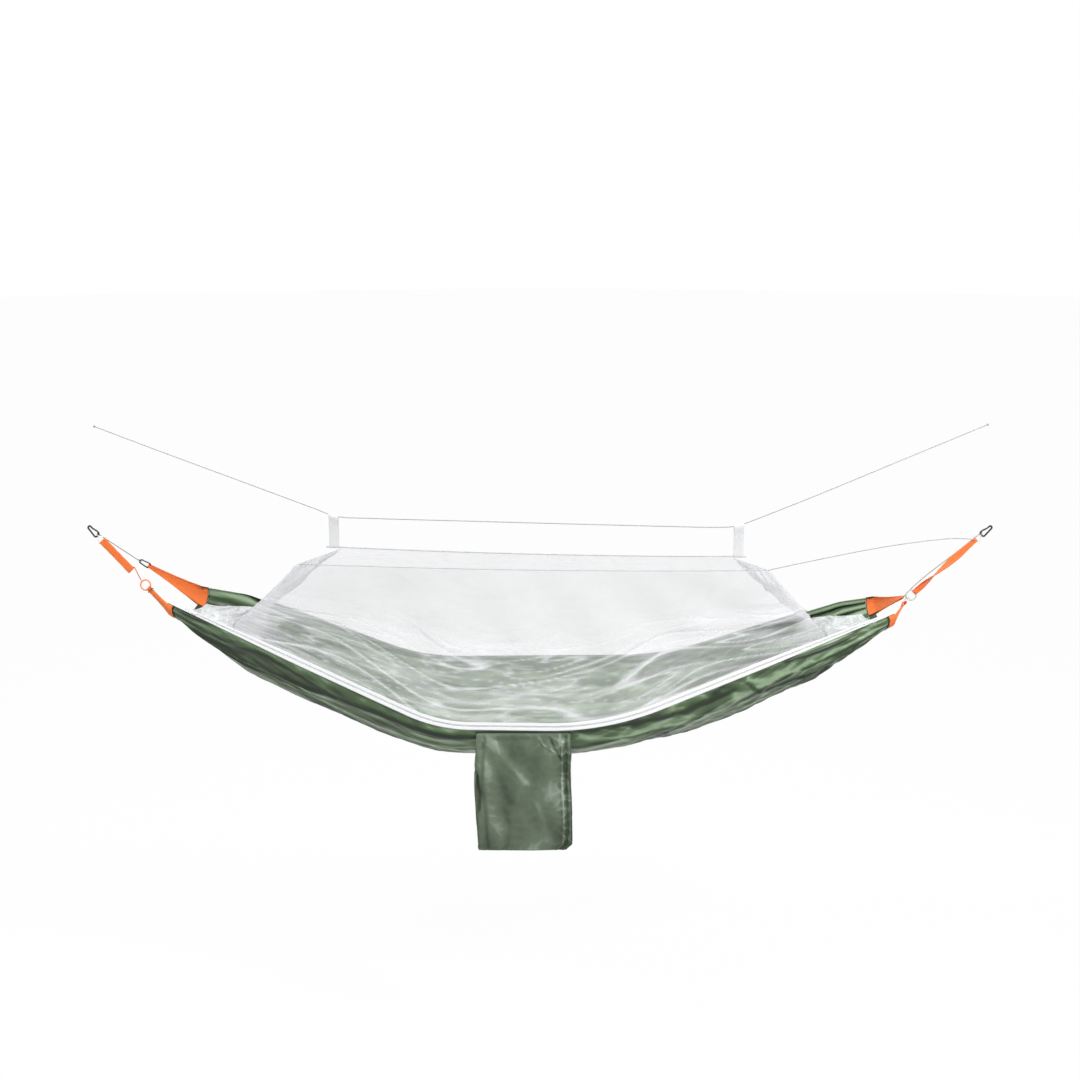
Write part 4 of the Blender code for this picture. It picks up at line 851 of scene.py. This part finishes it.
gather = {
    "start": 0.02, "clear": 0.0015, "columns": 61, "rows": 31, "shortest": 0.5, "longest": 0.9,
    "sag": 0.014, "lift": 0.012, "hang": 0.72, "behind": -0.008, "whiteness": 0.45}
for name, flip in (("net_left_gather", False), ("net_right_gather", True)):
    rows = []
    for share in np.linspace(gather["start"], firstShare - gather["clear"], gather["columns"]):
        t = (share - gather["start"]) / (firstShare - gather["start"])
        s = 1 - share if flip else share
        foot = frontRim.at(s, tapeInner + lapInset, behindTape)
        far = rearRim.at(s, 0.0, gather["behind"])
        reach = blend(gather["shortest"], gather["longest"], ease(t))
        r = even(gather["rows"])[:, None]
        line = blend(foot, far, reach * r)
        line[:, 2] -= (gather["sag"] * np.sin(gather["hang"] * np.pi * r[:, 0])
                       - gather["lift"] * t * np.sin(np.pi * r[:, 0]))
        rows.append(line)
    skirt = np.array(rows).transpose(1, 0, 2)
    skirt, creases = ruffle(skirt[:, ::-1] if flip else skirt, "gather", flip)
    netPiece(name, skirt, creases + gather["whiteness"])
print("nets made")


def cappedTube(name, points, radius, seed, node):
    # rings round a line, closed at both ends, for hems and seams
    turns = np.linspace(0, 2 * math.pi, 12, endpoint=False)
    ways = unit(np.gradient(points, axis=0))
    rings = []
    for k, (spot, way) in enumerate(zip(points, ways)):
        side = unit(np.cross(way, (0, 1, 0.2)))
        other = np.cross(way, side)
        wide = radius * (1 + 0.25 * softNoise(k * 0.45, 0, seed))
        rings.append([spot + (side * math.cos(t) + other * math.sin(t)) * wide for t in turns])
    first, last = ([np.mean(ring, axis=0)] * len(turns) for ring in (rings[0], rings[-1]))
    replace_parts(gridPiece(name, np.array([first, *rings, last]), hemWeave, closed=True), node)


hemLook = dict(whiteLook, base=colour(205, 207, 209), deep=colour(182, 184, 187))
hemWeave = wovenFinish("roof_hem_weave", hemLook, (1, 0, 0), (0, 0.7, 0.7))
reach = unit(rearRight - rearLeft) * (roof["tab"] + 2 * roof["tabOffset"])
hemLine = np.concatenate(([rearLeft - reach], rearEdge, [rearRight + reach]))
cappedTube("roof_hem", hemLine, roof["hemRadius"], 3.0, "roof_rear_hem")
cappedTube("roof_seam", frontEdge, roof["seamRadius"], 5.0, "roof_front_seam")

bindingLook = {"lift": 0.0008, "ripple": 0.0004, "thickness": 0.0016, "columns": 301}
low = behindBed + halfNet + bindingLook["lift"]
rows = [[rearRim.at(s, rise, low + bindingLook["ripple"] * softNoise(s * 120, rise * 500, 8.0))
         for rise in np.linspace(-rearLap, rearBinding - rearLap, 5)]
        for s in np.linspace(firstShare, lastShare, bindingLook["columns"])]
binding = gridPiece("rear_binding", np.array(rows), whiteWeb, thickness=bindingLook["thickness"])
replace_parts(binding, "rear_rim_binding")

# White tabs, then orange webbing: node, piece, look, pucker and its scale
webbing = [(side + "_ridge_tab", side + "_line_tab", whiteLook, 0.0005, 90.0) for side in ("left", "right")]
webbing += [(node, node + "_webbing", orangeLook, 0.0006, 110.0)
            for node in ("left_strap", "right_strap", "left_front_tab", "left_rear_tab", "right_front_tab",
                         "right_rear_tab")]
for node, name, look, pucker, scale in webbing:
    softCopy(node, name, wovenFinish(node + "_weave", look, *mainAxes(node)[:2]), cuts=2, rounding=0.0003,
             pucker=pucker, scale=scale)
print("webbing made")

# Stuff sack: a shell that sags from the flap, with its folds
sack = {
    "width": 0.312, "height": 0.384, "depth": 0.04, "bulge": 0.006, "standoff": 0.014, "hingeGap": 0.0008,
    "hinge": (-0.054, -0.3553, -0.6113), "drops": [0.0, 0.06, 0.14, 0.27, 0.42, 0.57, 0.71, 0.84, 0.945,
    1.0], "lefts": [-0.496, -0.499, -0.502, -0.508, -0.508, -0.5, -0.494, -0.486, -0.478, -0.474],
    "rights": [0.492, 0.493, 0.494, 0.496, 0.498, 0.502, 0.504, 0.506, 0.508, 0.44], "depths": [0.3, 0.48,
    0.68, 0.9, 1.0, 1.0, 1.0, 1.0, 0.96, 0.9], "backs": [0.0, 0.45, 0.85, 1.0, 1.0, 1.0, 1.0, 1.0, 1.0,
    1.0], "rows": 91, "side": 15, "face": 81, "wrinkle": 0.0042, "fold": 0.0056, "sideRipple": 0.0012,
    "hem": 0.004, "bottom": 0.0022, "seams": (0.012, 0.985), "seamOut": 0.004, "bows": (0.006, 0.004)}
sackCloth = {
    "pinned": 0.012, "growth": 0.045, "pressure": 1.2, "frames": 16, "cap": 0.006, "quality": 5,
    "mass": 0.15, "stretch": 12, "shear": 6, "bending": 0.08}


def sackRing(drop):
    hinge = point(*sack["hinge"])

    def look(table):
        return float(np.interp(drop, sack["drops"], sack[table]))

    left, right = (hinge[0] + sack["width"] * look(edge) for edge in ("lefts", "rights"))
    back = hinge[1] - sack["standoff"] * look("backs")
    deep = look("depths") * sack["depth"]
    z = hinge[2] - sack["hingeGap"] - drop * sack["height"]
    x, y = even(sack["face"]), even(sack["side"])[1:-1]
    swell = sack["bulge"] * math.sin(math.pi * drop) * np.sin(np.pi * x)
    corner = 0.25 * deep * (1 - (1 - (2 * x - 1) ** 12) ** 0.5)
    wide, side, bow = blend(left, right, x), back - deep * (1 - y), np.sin(np.pi * y)
    ring = [(wide, back - deep - swell + corner), (right - sack["bows"][1] * bow, side),
            (wide[::-1], np.full(len(x), back)), (left + sack["bows"][0] * bow[::-1], side[::-1])]
    return np.concatenate([np.stack((a, b, np.full(len(a), z)), -1) for a, b in ring])


# Sack fold lines: (down, across) points, width, depth; each pushes the front out or in and paints it lighter
# (painted highlight) or darker (painted shade) by its sign
sackFolds = [
    ([(0.0, 0.085), (0.35, 0.075), (0.7, 0.1), (1.0, 0.11)], 0.02, -0.8),
    ([(0.3, 0.018), (0.5, 0.05), (0.66, 0.03)], 0.018, -1.7),
    ([(0.02, 0.955), (0.4, 0.945), (0.8, 0.95), (1.0, 0.93)], 0.012, -1.3),
    ([(0.02, 0.14), (0.2, 0.33), (0.42, 0.56)], 0.055, 0.75),
    ([(0.1, 0.1), (0.34, 0.26), (0.6, 0.38)], 0.05, -0.5),
    ([(0.06, 0.915), (0.4, 0.905), (0.8, 0.915), (1.0, 0.89)], 0.01, 1.3),
    ([(0.02, 0.78), (0.12, 0.83), (0.22, 0.92)], 0.014, -1.1),
    ([(0.02, 0.66), (0.08, 0.72), (0.15, 0.86)], 0.012, 0.9),
    ([(0.55, 0.62), (0.74, 0.7), (0.95, 0.74)], 0.04, 0.7),
    ([(0.6, 0.3), (0.8, 0.34), (1.0, 0.3)], 0.035, -0.6)]

rows, values = [], []
face = sack["face"]
across = even(face)
for drop in even(sack["rows"]):
    ring = sackRing(drop)
    shade = np.full(len(ring), 0.5)
    lift = sum(depth * crease(across, drop, line, width) for line, width, depth in sackFolds)
    crinkle = (1 - np.abs(noiseOver(across * 9, drop * 13, 6.0))) ** 6 - 0.5
    soft = noiseOver(across * 4, drop * 3.2, 17.0)
    edge = ease(across / 0.02) * ease((1 - across) / 0.02) * ease(drop / 0.03)
    # how strongly the crinkles stand out, in shape and in painted highlight: most near the right edge and the
    # top right
    lively = (0.25 + 1.1 * np.exp(-((across - 0.94) / 0.06) ** 2)
              + 0.7 * np.exp(-((drop - 0.06) / 0.1) ** 2 - ((across - 0.85) / 0.22) ** 2))
    ring[:face, 1] -= (sack["fold"] * lift + sack["wrinkle"] * (0.7 * soft + 0.55 * lively * crinkle)) * edge
    # painted light and shade on the front face: lighter on fold ridges and crinkles, darker in creases
    shade[:face] = 0.47 + 0.42 * lift + 0.5 * crinkle * lively + 0.55 * soft
    ring[face:, 1] += sack["sideRipple"] * noiseOver(ring[face:, 0] * 30, drop * 8, 3.0) * ease(drop / 0.05)
    rows.append(ring)
    values.append(np.clip(shade, 0, 1))
# The bottom and the top close on their own middle lines
for index, lift, hem in ((-1, sack["bottom"], sack["hem"]), (0, 0.0, 0.0)):
    ring = rows[index].copy()
    for share in (0.35, 0.7, 1.0):
        closed = ring.copy()
        closed[:, 1] = blend(ring[:, 1], ring[:, 1].mean(), share)
        closed[:, 2] += lift * (1 - (1 - share) ** 2) - hem * math.sin(math.pi * share / 2)
        place = len(rows) if index else 0
        rows.insert(place, closed)
        values.insert(place, values[index])
# the sack body gets a lighter copy of the nylon colours as painted light, with its own painted shade (deep)
# and painted highlight (lit)
sackPaintedLook = dict(nylonLook, base=colour(98, 112, 92), deep=colour(48, 60, 44), lit=colour(172, 188, 176))
sackPiece = gridPiece("sack", np.array(rows), nylonFinish("sack_nylon", sackPaintedLook), ("fold", np.array(values)),
                      closed=True, body="stuff_sack")
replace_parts(sackPiece, "sack_back_panel", "sack_front_panel", "sack_gusset")
crumple(sackPiece, sackCloth)
softCopy("sack_flap", "sack_flap_cloth", nylonFinish("flap_nylon", nylonLook), cuts=2, rounding=0.0002,
         pucker=0.0004)
threadLook = {"base": colour(70, 82, 64), "deep": colour(52, 62, 48), "rib": 0.0006, "pick": 0.0008}
threadMaterial = wovenFinish("dark_thread", threadLook, (1, 0, 0), (0, 0, 1))
for drop in sack["seams"]:
    ring = sackRing(drop)[:face]
    ring[:, 1] -= sack["seamOut"]
    stitches("sack_seam_%d" % round(drop * 1000), ring, sackPiece, threadMaterial, body="stuff_sack")
print("sack made")

# Metal and moulded pieces keep their own shapes: colour, roughness, metallic
frameLooks = {
    "blackMetal": (colour(8, 8, 9), 0.55, 0.0), "steel": (colour(198, 198, 194), 0.24, 1.0),
    "wire": (colour(214, 214, 208), 0.32, 1.0), "plastic": (colour(236, 236, 234), 0.38, 0.0),
    "ring": (colour(233, 130, 64), 0.36, 0.0)}
materials = {key: metalFinish(key + "_finish", *look) for key, look in frameLooks.items()}
braids = {
    "orange": ({"base": colour(236, 138, 84), "deep": colour(206, 100, 50), "pitch": 0.0026}, (0.6, 0, -0.8)),
    "hook": ({"base": colour(168, 162, 152), "deep": colour(120, 114, 106), "pitch": 0.0022}, (0.8, 0, -0.6)),
    "tie": ({"base": colour(52, 50, 48), "deep": colour(26, 25, 24), "pitch": 0.002}, (0, 0, 1))}
for key, (look, along) in braids.items():
    materials[key] = cordFinish(key + "_cord_braid", look, along)
frameFinish = {
    "blackMetal": ["left_hook_body", "left_hook_gate", "right_hook_body", "right_hook_gate", "left_clip_body",
                   "left_clip_gate"],
    "steel": ["left_hook_pin", "right_hook_pin", "left_clip_pin", "right_ring", "right_small_ring",
              "left_zip_stop", "right_zip_stop"],
    "wire": ["left_strap_link", "right_strap_link"], "ring": ["left_ring"],
    "plastic": ["left_zip_slider", "right_zip_slider", "left_zip_pull", "right_zip_pull"],
    "orange": ["left_strap_cord"], "hook": ["left_hook_cord", "right_hook_cord"], "tie": ["left_tab_tie"]}
insetGates, gateInset = ("left_hook_gate", "right_hook_gate"), 0.00015
for key, nodes in frameFinish.items():
    for node in nodes:
        if node in insetGates:
            softCopy(node, node + "_rod", materials[key], cuts=0, rounding=0.0, body=node, inset=gateInset)
        else:
            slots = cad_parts[node].data.materials
            slots.clear()
            slots.append(materials[key])
print("metal and cords finished")

# Floor, light and the white behind the object
studio = {
    "floor": -1.75, "floorSize": 60.0, "floorSides": 24, "paint": (0.9, 0.9, 0.9, 1.0), "floorGlow": 0.97,
    "white": 1.0, "around": 0.4, "lamps": [{"place": (2.5, -2.3, 2.7), "aim": (0.2, 0.0, -0.3), "size": 0.9,
    "power": 150.0}, {"place": (-2.6, -1.6, 3.0), "aim": (-0.2, 0.0, -0.3), "size": 1.0, "power": 95.0},
    {"place": (0.0, 2.4, 2.6), "aim": (0.0, 0.0, -0.3), "size": 2.6, "power": 50.0}]}


def makeFloor(look):
    count, half = look["floorSides"], look["floorSize"] / 2
    work = bmesh.new()
    turns = [2 * math.pi * k / count for k in range(count)]
    work.faces.new([work.verts.new((midSpan + half * math.cos(t), half * math.sin(t), look["floor"]))
                    for t in turns])
    f = Finish("floor_paint")
    grain = f.noise(f.place(), 3.0)
    f.wire(Base_Color=look["paint"], Roughness=0.9 + grain * 0.05, Specular_IOR_Level=0.1)
    glow = f.add("ShaderNodeEmission", {}, {"Strength": 1.0})
    f.show("Material Output", f.seen() * look["floorGlow"], Field(f, f.shader.outputs[0]), glow)
    mesh = meshFrom(work, "floor")
    mesh.materials.append(f.material)
    addObject("floor", mesh)


def makeLamps(look):
    for index, lamp in enumerate(look["lamps"]):
        light = addObject("lamp_%d" % index, bpy.data.lights.new("lamp_%d" % index, "AREA"))
        light.data.shape, light.data.size, light.data.energy = "DISK", lamp["size"], lamp["power"]
        light.location = point(*lamp["place"])
        aim = Vector(point(*lamp["aim"])) - light.location
        light.rotation_euler = aim.to_track_quat("-Z", "Y").to_euler()


def makeWorld(look):
    f = Finish("studio", bpy.data.worlds)
    f.tree.nodes.remove(f.tree.nodes["Background"])
    lights = [f.add("ShaderNodeBackground", {}, {"Color": (1, 1, 1, 1), "Strength": look[key]})
              for key in ("around", "white")]
    f.show("World Output", f.seen(), *lights)
    bpy.context.scene.world = f.material


makeFloor(studio)
makeLamps(studio)
makeWorld(studio)
bpy.context.scene.view_settings.view_transform = "Standard"
print("studio made")
